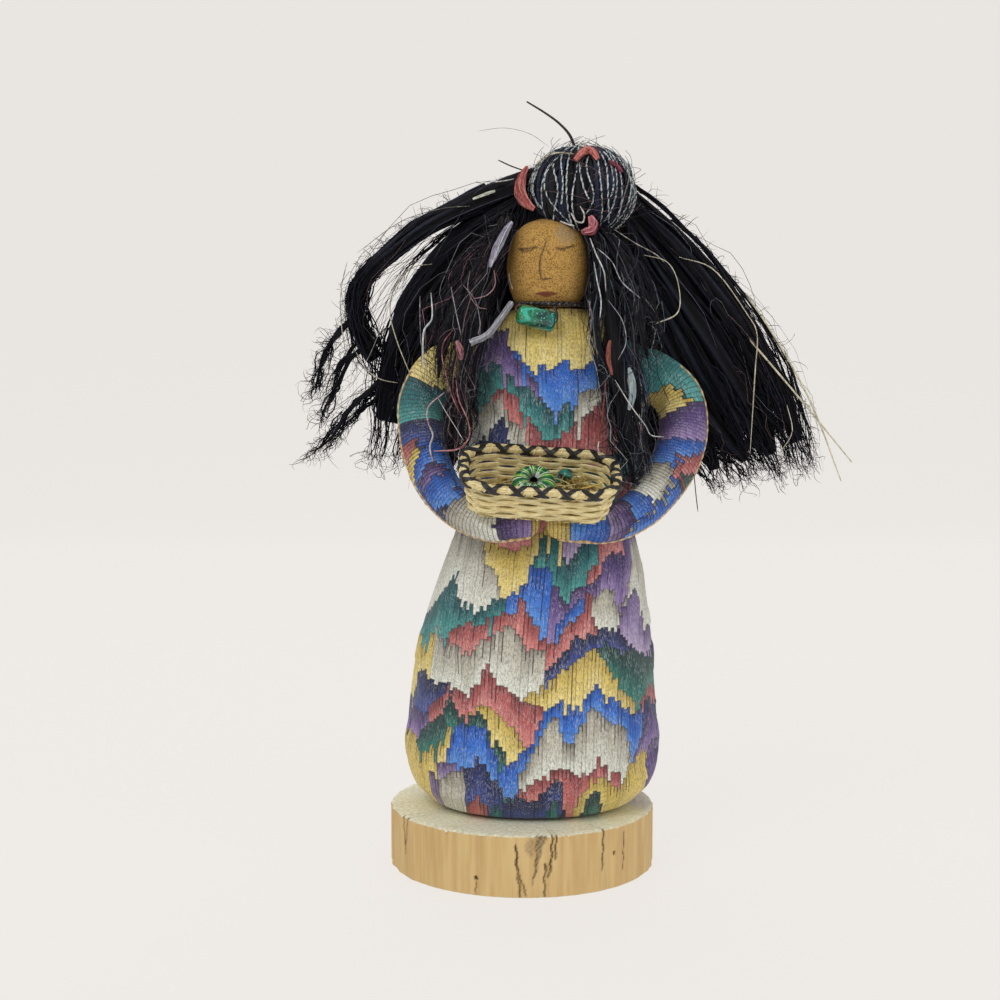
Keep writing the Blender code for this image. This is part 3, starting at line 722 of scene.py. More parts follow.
@dataclass(frozen=True)
class Studio:
    """The camera, the soft lights and the plain pale floor."""

    camera_place: tuple = (-0.00862, -0.5963, 0.182)
    camera_pitch_deg: float = 86.0
    lens_mm: float = 55.8
    sensor_mm: float = 36.0
    floor_colour: str = "ebe7e3"
    floor_half: float = 3.0
    floor_glow: float = 0.905
    floor_tint: float = 0.1
    below_slice: float = 0.0002
    wall_start: float = 1.2
    wall_radius: float = 0.9
    sky: float = 0.52
    lamps: tuple = (
        ("key", (-0.55, -0.75, 0.95), 0.75, 6.6), ("fill", (0.8, -0.7, 0.45), 0.9, 3.4),
        ("top", (0.0, 0.35, 1.1), 0.7, 2.0),
    )
    lamp_aim: tuple = (0.0, 0.0, 0.15)

    def build(self) -> None:
        """Makes the camera, three area lights, the world's light and the curved floor."""
        scene = bpy.context.scene
        data = bpy.data.cameras.new("camera")
        data.lens, data.sensor_width, data.clip_start = self.lens_mm, self.sensor_mm, 0.01
        camera = bpy.data.objects.new("camera", data)
        camera.location = self.camera_place
        camera.rotation_euler = (math.radians(self.camera_pitch_deg), 0, 0)
        scene.collection.objects.link(camera)
        scene.camera = camera
        for lamp in self.lamps:
            self.lamp(*lamp)
        world = bpy.data.worlds.new("studio")
        world.use_nodes = True
        backdrop = world.node_tree.nodes["Background"]
        backdrop.inputs[0].default_value = (*linear(self.floor_colour), 1.0)
        backdrop.inputs[1].default_value = self.sky
        scene.world = world
        scene.view_settings.view_transform = "Standard"
        self.floor()

    def lamp(self, name: str, place: tuple, size: float, watts: float) -> None:
        """Adds a soft square light that looks at the doll's middle.

        Args:
            name: The light's name.
            place: Where it hangs.
            size: Its side.
            watts: Its power.
        """
        data = bpy.data.lights.new(name, "AREA")
        data.size, data.energy = size, watts
        lamp = bpy.data.objects.new(name, data)
        lamp.location = place
        aim = unit(np.array(self.lamp_aim) - np.array(place))
        pitch = math.acos(-aim[2])
        lamp.rotation_euler = (pitch, 0.0, math.atan2(-aim[0], aim[1]))
        bpy.context.scene.collection.objects.link(lamp)

    def floor(self) -> None:
        """Makes the floor, which rises behind the doll as a quarter circle and then a wall."""
        turn = np.linspace(0, math.pi / 2, 24)
        bend = np.stack([np.sin(turn), 1 - np.cos(turn)], 1) * self.wall_radius + (self.wall_start, 0.0)
        wall = self.wall_start + self.wall_radius
        profile = np.concatenate([[[-self.floor_half, 0.0]], bend, [[wall, self.floor_half]]])
        points = np.empty((len(profile), 2, 3))
        points[..., 0] = (self.floor_half, -self.floor_half)
        points[..., 1:] = profile[:, None]
        skin = Skin("floor")
        skin.add(points - self.below_slice * UP, [grid_faces(len(profile), 2, False)])
        r = Recipe("pale_floor")
        tint = linear(self.floor_colour)
        finish = r.finish(
            Base_Color=tuple(tint * self.floor_tint), Roughness=0.9, Emission_Color=tuple(tint),
            Emission_Strength=self.floor_glow,
        )
        piece = skin.piece(finish)
        if piece.data.polygons[0].normal.z < 0:
            piece.data.flip_normals()


class Dye(Enum):
    """The cloth's dyes: how each looks at a band's dark top, in its middle and at its pale foot."""

    YELLOW = ("a88f3e", "dcc262", "ecdb92")
    TEAL = ("083a42", "14696c", "4fa39d")
    BLUE = ("0f3f8e", "1d66cb", "5e98e0")
    NAVY = ("0d1130", "1c2a68", "4459a4")
    PURPLE = ("2f2046", "5b4283", "a68cc0")
    LILAC = ("4f4064", "8c76a8", "c3b2d2")
    ROSE = ("6f3436", "b95b58", "dd938c")
    CREAM = ("6e665c", "c3bfae", "e6eadf")
    GREEN = ("082f2c", "0e4b45", "358a7a")


@dataclass(frozen=True)
class Flame:
    """One flame: its dye, and the turning points (across, millimetres along) where it starts.

    It covers all that lies past its line, until a later flame in the chart covers it in turn.
    """

    dye: Dye
    line: tuple


HIGH = 260
CHART_EDGE = 43
DRESS_CHART = (
    Flame(Dye.CREAM, ((-60, HIGH), (60, HIGH))),
    Flame(Dye.YELLOW, ((-17, HIGH), (17, HIGH))),
    Flame(Dye.BLUE, (
        (-12, 198), (-10, 197), (-7, 192), (-5, 188), (-4, 192), (0, 191), (2, 195), (6, 190), (10, 195))),
    Flame(Dye.NAVY, ((11, 196), (15, 205), (24, 200), (33, 208))),
    Flame(Dye.PURPLE, ((-33, 190), (-22, 201), (-13, 206), (-12, 198), (-8, 191), (-4, 183))),
    Flame(Dye.TEAL, (
        (-34, 176), (-28, 186), (-21, 190), (-20, 194), (-14, 192), (-11, 187), (-10, 183), (-7, 183),
        (-3, 177), (0, 172), (2, 177), (5, 176))),
    Flame(Dye.CREAM, ((5, 176), (6, 180), (11, 184), (15, 182), (20, 188), (26, 178), (34, 186))),
    Flame(Dye.ROSE, (
        (-16, 181), (-13, 183), (-10, 180), (-9, 173), (-7, 172), (-3, 165), (-1, 163), (2, 167), (5, 170),
        (9, 174), (13, 181), (18, 176), (24, 168), (33, 178))),
    Flame(Dye.CREAM, (
        (-34, 168), (-26, 181), (-21, 174), (-17, 180), (-16, 178), (-14, 181), (-12, 171), (-8, 167),
        (-7, 163))),
    Flame(Dye.NAVY, ((-34, 150), (-20, 164), (-15, 171), (-14, 172), (-12, 164), (-8, 152))),
    Flame(Dye.TEAL, ((-6, 152), (4, 160), (12, 152), (20, 164), (28, 156), (34, 166))),
    Flame(Dye.ROSE, ((-16, 146), (-8, 152), (0, 144), (8, 150), (16, 140), (24, 152), (34, 144))),
    Flame(Dye.YELLOW, ((-18, 131), (-14, 127), (-12, 124), (-8, 123), (-5, 126), (-4, 129), (6, 138))),
    Flame(Dye.CREAM, ((-50, 134), (-19, 131), (-18, 131), (-16, 119), (-13, 115), (-11, 106))),
    Flame(Dye.LILAC, ((4, 140), (10, 140))),
    Flame(Dye.TEAL, (
        (-4, 119), (-3, 123), (-2, 129), (2, 128), (3, 121), (4, 121), (5, 118), (6, 121), (8, 124),
        (10, 128), (14, 131))),
    Flame(Dye.ROSE, ((11, 117), (13, 118), (14, 125), (14, 134), (23, 134), (34, 140))),
    Flame(Dye.PURPLE, ((13, 112), (15, 119), (17, 122), (22, 122), (24, 130), (36, 126), (46, 134))),
    Flame(Dye.BLUE, ((-12, 101), (-10, 106), (-7, 111), (-5, 113), (-4, 118), (1, 117), (2, 111), (3, 110))),
    Flame(Dye.PURPLE, ((2, 111), (3, 110), (5, 105), (6, 107), (8, 110), (10, 111), (13, 112))),
    Flame(Dye.TEAL, (
        (-50, 92), (-34, 103), (-28, 113), (-26, 115), (-24, 105), (-20, 104), (-15, 102), (-13, 106),
        (-10, 106))),
    Flame(Dye.BLUE, ((4, 97), (6, 101), (9, 106), (11, 106))),
    Flame(Dye.CREAM, (
        (13, 106), (15, 109), (19, 109), (20, 104), (22, 101), (25, 110), (27, 127), (46, 122))),
    Flame(Dye.LILAC, ((21, 95), (23, 102), (28, 109), (30, 104), (34, 93), (44, 92))),
    Flame(Dye.ROSE, (
        (-26, 91), (-23, 95), (-20, 97), (-16, 96), (-14, 99), (-9, 101), (-7, 101), (-6, 106), (-5, 106),
        (-4, 102), (-2, 98), (2, 91), (4, 91), (6, 97), (10, 101), (11, 108), (12, 108), (13, 99),
        (14, 96))),
    Flame(Dye.YELLOW, ((-50, 96), (-36, 87), (-33, 93), (-29, 89))),
    Flame(Dye.CREAM, (
        (-31, 94), (-26, 89), (-22, 89), (-18, 86), (-15, 91), (-9, 96), (-8, 96), (-6, 94), (-2, 88),
        (1, 88), (2, 82))),
    Flame(Dye.NAVY, ((2, 81), (7, 89), (10, 95), (14, 93), (16, 95), (21, 94), (25, 88), (34, 82), (46, 88))),
    Flame(Dye.GREEN, ((14, 88), (16, 90), (23, 86), (27, 87), (36, 81), (46, 84))),
    Flame(Dye.YELLOW, ((-3, 72), (2, 77), (8, 82), (12, 87), (14, 88), (19, 81), (23, 72), (27, 67))),
    Flame(Dye.NAVY, ((-50, 66), (-43, 65), (-39, 76), (-34, 78), (-29, 74), (-24, 75), (-23, 73))),
    Flame(Dye.PURPLE, ((-50, 63), (-34, 63), (-30, 65), (-28, 62))),
    Flame(Dye.ROSE, (
        (-31, 65), (-26, 70), (-24, 74), (-19, 72), (-15, 75), (-14, 82), (-13, 82), (-10, 75), (-8, 75),
        (-4, 70), (1, 68), (2, 66))),
    Flame(Dye.YELLOW, ((-17, 65), (-16, 67), (-12, 68), (-9, 64), (-6, 61), (-4, 56), (-3, 54))),
    Flame(Dye.ROSE, ((30, 67), (33, 71), (38, 73), (50, 66))),
    Flame(Dye.NAVY, ((27, 62), (30, 66), (34, 68), (39, 66), (50, 60))),
    Flame(Dye.GREEN, (
        (-50, 50), (-37, 53), (-29, 61), (-26, 63), (-24, 68), (-23, 70), (-20, 64), (-17, 66), (-13, 63),
        (-11, 56), (-9, 55), (-7, 47), (-5, 45), (-3, 47))),
    Flame(Dye.YELLOW, (
        (-50, 52), (-38, 53), (-33, 46), (-30, 50), (-25, 53), (-24, 59), (-23, 59), (-22, 53))),
    Flame(Dye.BLUE, (
        (-23, 52), (-22, 57), (-19, 61), (-13, 60), (-11, 52), (-9, 47), (-6, 47), (-5, 50), (-1, 55),
        (0, 60), (2, 67), (6, 70), (9, 67), (11, 69), (13, 71), (14, 75), (18, 72), (23, 67), (27, 62),
        (30, 64))),
    Flame(Dye.PURPLE, ((29, 49), (30, 55), (34, 62), (39, 63), (50, 54))),
    Flame(Dye.CREAM, (
        (-4, 44), (-2, 48), (0, 54), (2, 60), (4, 64), (5, 64), (6, 59), (7, 55), (9, 54), (10, 58),
        (12, 63), (14, 68), (19, 61), (24, 58), (27, 47))),
    Flame(Dye.LILAC, ((-29, 41), (-26, 45), (-22, 46), (-17, 44))),
    Flame(Dye.CREAM, ((-26, 38), (-24, 42), (-18, 43), (-17, 39))),
    Flame(Dye.NAVY, (
        (-18, 44), (-15, 50), (-14, 48), (-10, 41), (-8, 36), (-5, 32), (-3, 33), (0, 37), (4, 40),
        (6, 24))),
    Flame(Dye.ROSE, ((-18, 29), (-15, 34), (-13, 30))),
    Flame(Dye.TEAL, ((-11, 30), (-8, 34), (2, 34), (5, 30))),
    Flame(Dye.ROSE, (
        (-5, 34), (-4, 37), (2, 43), (5, 47), (5, 45), (8, 45), (10, 42), (12, 42), (15, 44), (16, 49),
        (19, 43), (22, 42), (23, 36))),
    Flame(Dye.NAVY, ((-8, 33), (-5, 35), (-2, 33), (0, 34), (2, 37), (3, 38), (5, 42), (6, 41), (7, 28))),
    Flame(Dye.TEAL, ((3, 29), (4, 33), (6, 34), (6, 26))),
    Flame(Dye.YELLOW, (
        (10, 30), (11, 34), (13, 38), (14, 41), (17, 41), (22, 36), (24, 39), (26, 43), (33, 49), (35, 45),
        (50, 44))),
    Flame(Dye.GREEN, ((12, 28), (14, 36), (16, 36), (17, 30))),
    Flame(Dye.PURPLE, ((34, 38), (36, 50), (39, 51), (50, 47))),
)
RIGHT_SLEEVE_CHART = (
    Flame(Dye.YELLOW, ((-180, -20), (180, -20))),
    Flame(Dye.TEAL, ((-180, 18), (-90, 22), (0, 20), (90, 21), (180, 17))),
    Flame(Dye.NAVY, ((-180, 38), (-60, 38), (0, 38), (60, 37), (90, 37), (180, 36))),
    Flame(Dye.ROSE, ((-80, 50), (-40, 43), (0, 41), (40, 43), (75, 46), (95, 52))),
    Flame(Dye.YELLOW, ((-70, 60), (0, 55), (50, 52), (80, 49), (115, 56))),
    Flame(Dye.BLUE, ((-180, 50), (-70, 66), (0, 62), (60, 57), (100, 49), (130, 46), (180, 50))),
    Flame(Dye.PURPLE, ((40, 66), (70, 61), (110, 58), (150, 62))),
    Flame(Dye.BLUE, ((40, 66), (80, 65), (120, 67), (150, 63))),
    Flame(Dye.NAVY, ((-60, 78), (0, 74), (50, 75), (80, 80))),
    Flame(Dye.CREAM, ((-180, 82), (-90, 80), (0, 81), (60, 78), (120, 80), (180, 82))),
    Flame(Dye.PURPLE, ((-180, 98), (0, 100), (90, 97), (180, 99))),
    Flame(Dye.YELLOW, ((-180, 108), (180, 108))),
)
LEFT_SLEEVE_CHART = (
    Flame(Dye.TEAL, ((-180, -20), (180, -20))),
    Flame(Dye.YELLOW, ((75, 30), (100, 20), (140, 16), (180, 18))),
    Flame(Dye.CREAM, ((-40, 27), (0, 25), (30, 29), (45, 34))),
    Flame(Dye.PURPLE, ((-180, 30), (-60, 28), (0, 28), (45, 31), (90, 31), (150, 36), (180, 34))),
    Flame(Dye.BLUE, ((-180, 46), (-60, 42), (0, 42), (60, 46), (120, 50), (180, 48))),
    Flame(Dye.ROSE, ((-60, 50), (0, 47), (40, 49), (80, 55), (100, 61), (115, 66), (125, 70))),
    Flame(Dye.GREEN, ((-60, 56), (0, 55), (40, 57), (70, 64))),
    Flame(Dye.BLUE, ((-180, 62), (-60, 62), (0, 64), (60, 66), (90, 65), (125, 71))),
    Flame(Dye.CREAM, ((78, 76), (90, 66), (120, 62), (180, 64))),
    Flame(Dye.BLUE, ((70, 82), (90, 79), (120, 81), (180, 80))),
    Flame(Dye.PURPLE, ((-180, 94), (0, 95), (60, 92), (110, 88), (180, 88))),
    Flame(Dye.LILAC, ((30, 97), (90, 95), (150, 93))),
    Flame(Dye.BLUE, ((-180, 100), (0, 101), (90, 99), (180, 100))),
    Flame(Dye.YELLOW, ((-180, 111), (180, 111))),
)


def flames_at(chart: tuple, across: Array, along: Array, seed: int, falling: bool, waver: float) -> Array:
    """Finds which flame covers each cell of the cloth.

    Each flame covers the cells past its line, a later one over an earlier one. The line is
    straight between its turning points, moved a little for each column by seeded numbers, and
    now and then held back so that the flame above drips.

    Args:
        chart: The flames.
        across: The cells' places across the chart.
        along: Their places along it in millimetres.
        seed: The wavering's seed.
        falling: Whether a flame covers what is below its line, not above.
        waver: The wavering in millimetres.

    Returns:
        Each cell's flame number.
    """
    rng = np.random.default_rng(seed)
    found = np.zeros(across.shape, int)
    for number, flame in enumerate(chart):
        line = np.array(flame.line, float)
        shape = (1, across.shape[1]) if falling else (across.shape[0], 1)
        jitter = rng.normal(0.0, waver, shape)
        drip = np.where(rng.random(shape) < 0.3, rng.exponential(1.7 * waver, shape), 0.0)
        if falling:
            start = np.interp(across, line[:, 0], line[:, 1]) - drip + jitter * 0.5
            past = along < start
            low, high = line[0, 0], line[-1, 0]
            inside = ((across >= low) | (low <= -CHART_EDGE)) & ((across <= high) | (high >= CHART_EDGE))
        else:
            turned = across + 9.0 * (jitter + drip)
            start = np.interp(turned, line[:, 0], line[:, 1])
            past = along > start
            inside = (turned >= line[0, 0]) & (turned <= line[-1, 0]) if line[0, 0] > -180 else True
        found = np.where(past & inside, number, found)
    return found


def stitch_cells(chart: tuple, found: Array, step_mm: float, seed: int) -> tuple:
    """Gives each cell its colour and its share of dark line on each side.

    Rows run down the flames. A flame is dark at its start, by a falling exponential, and turns
    pale towards its foot. A side line stands where two columns show different flames, and for a
    seeded length under a flame's start, as the thread's shadow.

    Args:
        chart: The flames.
        found: Each cell's flame.
        step_mm: The height of a row.
        seed: The columns' seed.

    Returns:
        The cells' colours, and their lines before, after, at the start and at the foot.
    """
    rng = np.random.default_rng(seed)
    rows, columns = found.shape
    number = np.arange(rows)[:, None]
    starts = np.ones(found.shape, bool)
    starts[1:] = found[1:] != found[:-1]
    feet = np.ones(found.shape, bool)
    feet[:-1] = found[1:] != found[:-1]
    first = np.maximum.accumulate(np.where(starts, number, 0), axis=0)
    last = np.minimum.accumulate(np.where(feet, number, rows)[::-1], axis=0)[::-1]
    depth = (number - first) * step_mm
    length = (last - first + 1) * step_mm
    dyes = np.array([tones(*flame.dye.value) for flame in chart])
    dark, body, light = (dyes[:, i][found] for i in range(3))
    column_tone = rng.random((1, columns))
    run_tone = np.take_along_axis(rng.random((rows, columns)), first, axis=0)
    shade = np.exp(-depth / (1.5 + 5.0 * run_tone)) * (0.5 + 0.5 * column_tone)
    pale = smoothstep(0.3, 1.05, depth / length) * np.clip(length / 9.0, 0.25, 1.0) * (0.55 + 0.45 * run_tone)
    shade, pale = shade[..., None], pale[..., None]
    colour = body * (1 - shade) + dark * shade
    colour = colour * (1 - pale) + light * pale
    colour = colour * (0.9 + 0.2 * rng.random((rows, columns)))[..., None]
    shadow = rng.exponential(3.6, (rows, columns)) * (rng.random((rows, columns)) < 0.62)
    hatch = np.take_along_axis(shadow, first, axis=0)
    side = np.where(depth < hatch, 0.9, 0.1 + 0.3 * (run_tone > 0.7))
    edge = 0.35 + 0.6 * column_tone[:, 1:]
    side[:, 1:] = np.where(found[:, 1:] != found[:, :-1], edge, side[:, 1:])
    after = np.roll(side, -1, axis=1)
    lines = np.stack([side, after, 0.25 * starts, 0.7 * feet * (run_tone > 0.25)], -1)
    return colour, lines


def stuffed(name: str, rings: Array, held: Array, pressure: float, cap_mm: float, swell: float) -> Array:
    """Blows up a closed cloth form by simulation and says how far each point moved.

    Held points stay, the cloth is cut a little larger than its coarse form, and pressure pushes
    it out, so that it puckers beside what is held.

    Args:
        name: The form's name.
        rings: Rings by points by three.
        held: How firmly each point is held, from 0 to 1.
        pressure: The pressure inside.
        cap_mm: The most that a point may move.
        swell: How much larger the cloth is cut.
    """
    rows, columns = rings.shape[:2]
    skin = Skin(name)
    skin.add(rings, shell_faces(rows, columns))
    form = skin.piece(bpy.data.materials.new("undyed"))
    group = form.vertex_groups.new(name="held")
    for level in np.unique(np.round(held, 2)):
        members = np.flatnonzero(np.round(held.ravel(), 2) == level)
        group.add(members.tolist(), float(level), "REPLACE")
    cloth = form.modifiers.new("cloth", "CLOTH")
    settings = cloth.settings
    settings.quality = 6
    settings.mass = 0.2
    settings.tension_stiffness = settings.compression_stiffness = 12.0
    settings.bending_stiffness = 0.05
    settings.use_pressure = True
    settings.uniform_pressure_force = pressure
    settings.vertex_group_mass = "held"
    settings.pin_stiffness = 1.0
    settings.shrink_min = -swell
    settings.effector_weights.gravity = 0.0
    cloth.collision_settings.use_collision = False
    cloth.point_cache.frame_start, cloth.point_cache.frame_end = 1, 24
    scene = bpy.context.scene
    for step in range(1, 21):
        scene.frame_set(step)
    worn = form.evaluated_get(bpy.context.evaluated_depsgraph_get()).data
    now = np.empty(rows * columns * 3)
    worn.vertices.foreach_get("co", now)
    move = now.reshape(rings.shape) - rings
    bpy.data.objects.remove(form)
    scene.frame_set(1)
    length = np.linalg.norm(move, axis=-1, keepdims=True)
    LOG.info("%s: cloth moved up to %.1f mm before the cap", name, length.max() / MM)
    return move * np.minimum(1.0, cap_mm * MM / np.maximum(length, 1e-9))


def read_wrapped(grid: Array, down: Array, around: Array) -> Array:
    """Reads a grid that runs round, evenly between its points.

    Args:
        grid: Rows by columns by values.
        down: Where to read it, as shares of its rows.
        around: Where to read it, as shares of its turn.

    Returns:
        The values, each the mean of its four neighbours by nearness.
    """
    rows, columns = grid.shape[:2]
    y = np.clip(down, 0, 1) * (rows - 1)
    x = np.mod(around, 1.0) * columns
    i, j = np.minimum(y.astype(int), rows - 2), x.astype(int) % columns
    fy, fx = (y - i)[..., None], (x - np.floor(x))[..., None]
    n = (j + 1) % columns
    low = grid[i, j] * (1 - fx) + grid[i, n] * fx
    high = grid[i + 1, j] * (1 - fx) + grid[i + 1, n] * fx
    return low * (1 - fy) + high * fy


def oval_quarter(half_width: Array, half_depth: Array, reach: Array, power: float) -> tuple:
    """Walks a quarter of a rounded oval from its front middle to its side.

    The points are the powers 2 / power of the cosine and sine of a turn, times the half sizes,
    read at given lengths along the line. A length past the side stays at the side.

    Args:
        half_width: One for each ring.
        half_depth: One for each ring.
        reach: Lengths along the line.
        power: 2 for an ellipse, more for a squarer oval.

    Returns:
        The x and y of the points, rings by lengths, and each ring's whole quarter.
    """
    turn = np.linspace(math.pi / 2, 0, 160)
    x = np.cos(turn) ** (2 / power) * half_width[:, None]
    y = -np.sin(turn) ** (2 / power) * half_depth[:, None]
    steps = np.hypot(np.diff(x, axis=1), np.diff(y, axis=1))
    run = np.concatenate([np.zeros((len(x), 1)), np.cumsum(steps, axis=1)], axis=1)
    found_x = np.array([np.interp(reach, a, b) for a, b in zip(run, x)])
    found_y = np.array([np.interp(reach, a, b) for a, b in zip(run, y)])
    return found_x, found_y, run[:, -1]


def weld(points: Array, quads: Array, corner: Array, cell: Array, dye: Array) -> tuple:
    """Merges points that lie on each other and drops what that leaves of a face.

    Args:
        points: The grid's points.
        quads: Its faces.
        corner: Four values for each face's corners.
        cell: The cell place of each face's corners.
        dye: A colour for each face's corners.

    Returns:
        The points, the faces with four and with three corners and their values, and new numbers.
    """
    keys = np.round(points / 1e-7).astype(np.int64)
    _, keep, number = np.unique(keys, axis=0, return_index=True, return_inverse=True)
    number = number.reshape(-1)
    quads = number[quads]
    double = quads == np.roll(quads, -1, axis=1)
    left = 4 - double.sum(1)
    whole = left == 4
    folded = left == 3
    order = (np.argmax(double[folded], axis=1)[:, None] + np.arange(1, 4)) % 4
    pick = np.arange(folded.sum())[:, None]
    parts = (quads, corner, cell, dye)
    kept = [tuple(part[whole] for part in parts), tuple(part[folded][pick, order] for part in parts)]
    return points[keep], kept, number


PLAIN_STITCH = (np.zeros((1, 1, 4)), np.full((1, 1, 2), 0.5), linear("2a2a30").reshape(1, 1, 3))


@dataclass
class Dress:
    """The stuffed body: one form of printed cloth from the foot of the skirt to the collar."""

    power: float = 2.15
    row_mm: float = 0.56
    pressure: float = 2.5
    cap_mm: float = 1.1
    swell: float = 0.035
    back_shift: int = 9
    back_rise_mm: float = 13.0

    def __post_init__(self) -> None:
        """Reads the form's rings from the frame."""
        rings = smooth_rows(solid_rings("body"), 400)
        heights = np.arange(rings[0, 0], rings[-1, 0], self.row_mm * MM)
        self.rings = rings_at(rings, heights)

    def coarse(self, rows: int = 44, columns: int = 64) -> tuple:
        """Makes the coarse form that is stuffed.

        Args:
            rows: Its rings.
            columns: Points in a ring.

        Returns:
            The rings and how firmly each point is held.
        """
        pick = np.linspace(0, len(self.rings) - 1, rows).astype(int)
        ring = self.rings[pick]
        share = np.arange(columns) / columns
        _, _, quarter = oval_quarter(ring[:, 3], ring[:, 4], np.zeros(1), self.power)
        points = np.empty((rows, columns, 3))
        fold = np.minimum(share % 0.5, 0.5 - share % 0.5)
        for k in range(rows):
            x, y, _ = oval_quarter(ring[k:k + 1, 3], ring[k:k + 1, 4], fold * 4 * quarter[k], self.power)
            points[k, :, 0] = ring[k, 1] + np.where(share < 0.5, x[0], -x[0])
            points[k, :, 1] = ring[k, 2] + np.where((share < 0.25) | (share >= 0.75), y[0], -y[0])
            points[k, :, 2] = ring[k, 0]
        held = np.zeros((rows, columns))
        held[:2] = held[-3:] = 1.0
        seams = [columns // 4, 3 * columns // 4]
        held[:, seams] = 1.0
        return points, held

    def build(self, cloth: Material) -> None:
        """Makes the dress.

        Columns stand a stitch apart from the front's middle, and those past the side seam stay
        on it and are welded away, as cloth that is cut off there.

        Args:
            cloth: The printed cloth.
        """
        rows = len(self.rings)
        _, _, quarter = oval_quarter(self.rings[:, 3], self.rings[:, 4], np.zeros(1), self.power)
        half = int(math.ceil(quarter.max() / STITCH_PITCH))
        reach = np.arange(half + 1) * STITCH_PITCH
        x, y, quarter = oval_quarter(self.rings[:, 3], self.rings[:, 4], reach, self.power)
        steps = np.minimum(reach[None], quarter[:, None]) / (4 * quarter[:, None])
        around = np.hstack([1 - steps[:, :0:-1], steps, 0.5 - steps[:, ::-1], 0.5 + steps[:, 1:]])
        full_x = np.hstack([-x[:, :0:-1], x, x[:, ::-1], -x[:, 1:]])
        full_y = np.hstack([y[:, :0:-1], y, -y[:, ::-1], -y[:, 1:]])
        z = np.broadcast_to(self.rings[:, :1], full_x.shape)
        points = np.stack([full_x + self.rings[:, 1:2], full_y + self.rings[:, 2:3], z], -1)
        down = np.broadcast_to(np.linspace(0, 1, rows)[:, None], around.shape)
        moves = stuffed("dress_form", *self.coarse(), self.pressure, self.cap_mm, self.swell)
        points = points + read_wrapped(moves, down, around)
        columns = points.shape[1]

        cells = columns - 1
        front = np.arange(-half, half)
        back = np.arange(half - 1, -half - 1, -1) + self.back_shift
        across = np.concatenate([front, [half], back[:cells - len(front) - 1]])
        across = np.broadcast_to(across, (rows - 1, cells))
        rise = np.where(np.arange(cells) < len(front), 0.0, self.back_rise_mm)
        along = (self.rings[:-1, :1] + self.rings[1:, :1]) / 2 / MM - rise
        found = flames_at(DRESS_CHART, across, along, 11, True, 0.9)
        colour, lines = stitch_cells(DRESS_CHART, found[::-1], self.row_mm, 12)
        colour, lines = colour[::-1].reshape(-1, 3), lines[::-1].reshape(-1, 4)
        quads = grid_faces(rows, columns, False)
        corner = np.repeat(lines[:, None], 4, axis=1)
        cell = np.broadcast_to(np.array([(0, 0), (1, 0), (1, 1), (0, 1)], float), (len(quads), 4, 2))
        dye = np.repeat(colour[:, None], 4, axis=1)
        kept_points, kept, number = weld(points.reshape(-1, 3), quads, corner, cell, dye)
        skin = Skin("dress")
        skin.add(kept_points, [])
        for faces, *values in kept:
            skin.stitch(faces, *values)
        for row in (0, rows - 1):
            ring = number[np.arange(columns) + row * columns]
            ring = ring[np.concatenate([[True], ring[1:] != ring[:-1]])]
            ring = ring[:-1] if ring[0] == ring[-1] else ring
            ring = ring[::-1] if row == 0 else ring
            skin.stitch(ring[None], *PLAIN_STITCH)
        piece = skin.piece(cloth)
        finish_piece(piece, "flame_stitch_cloth", "body")


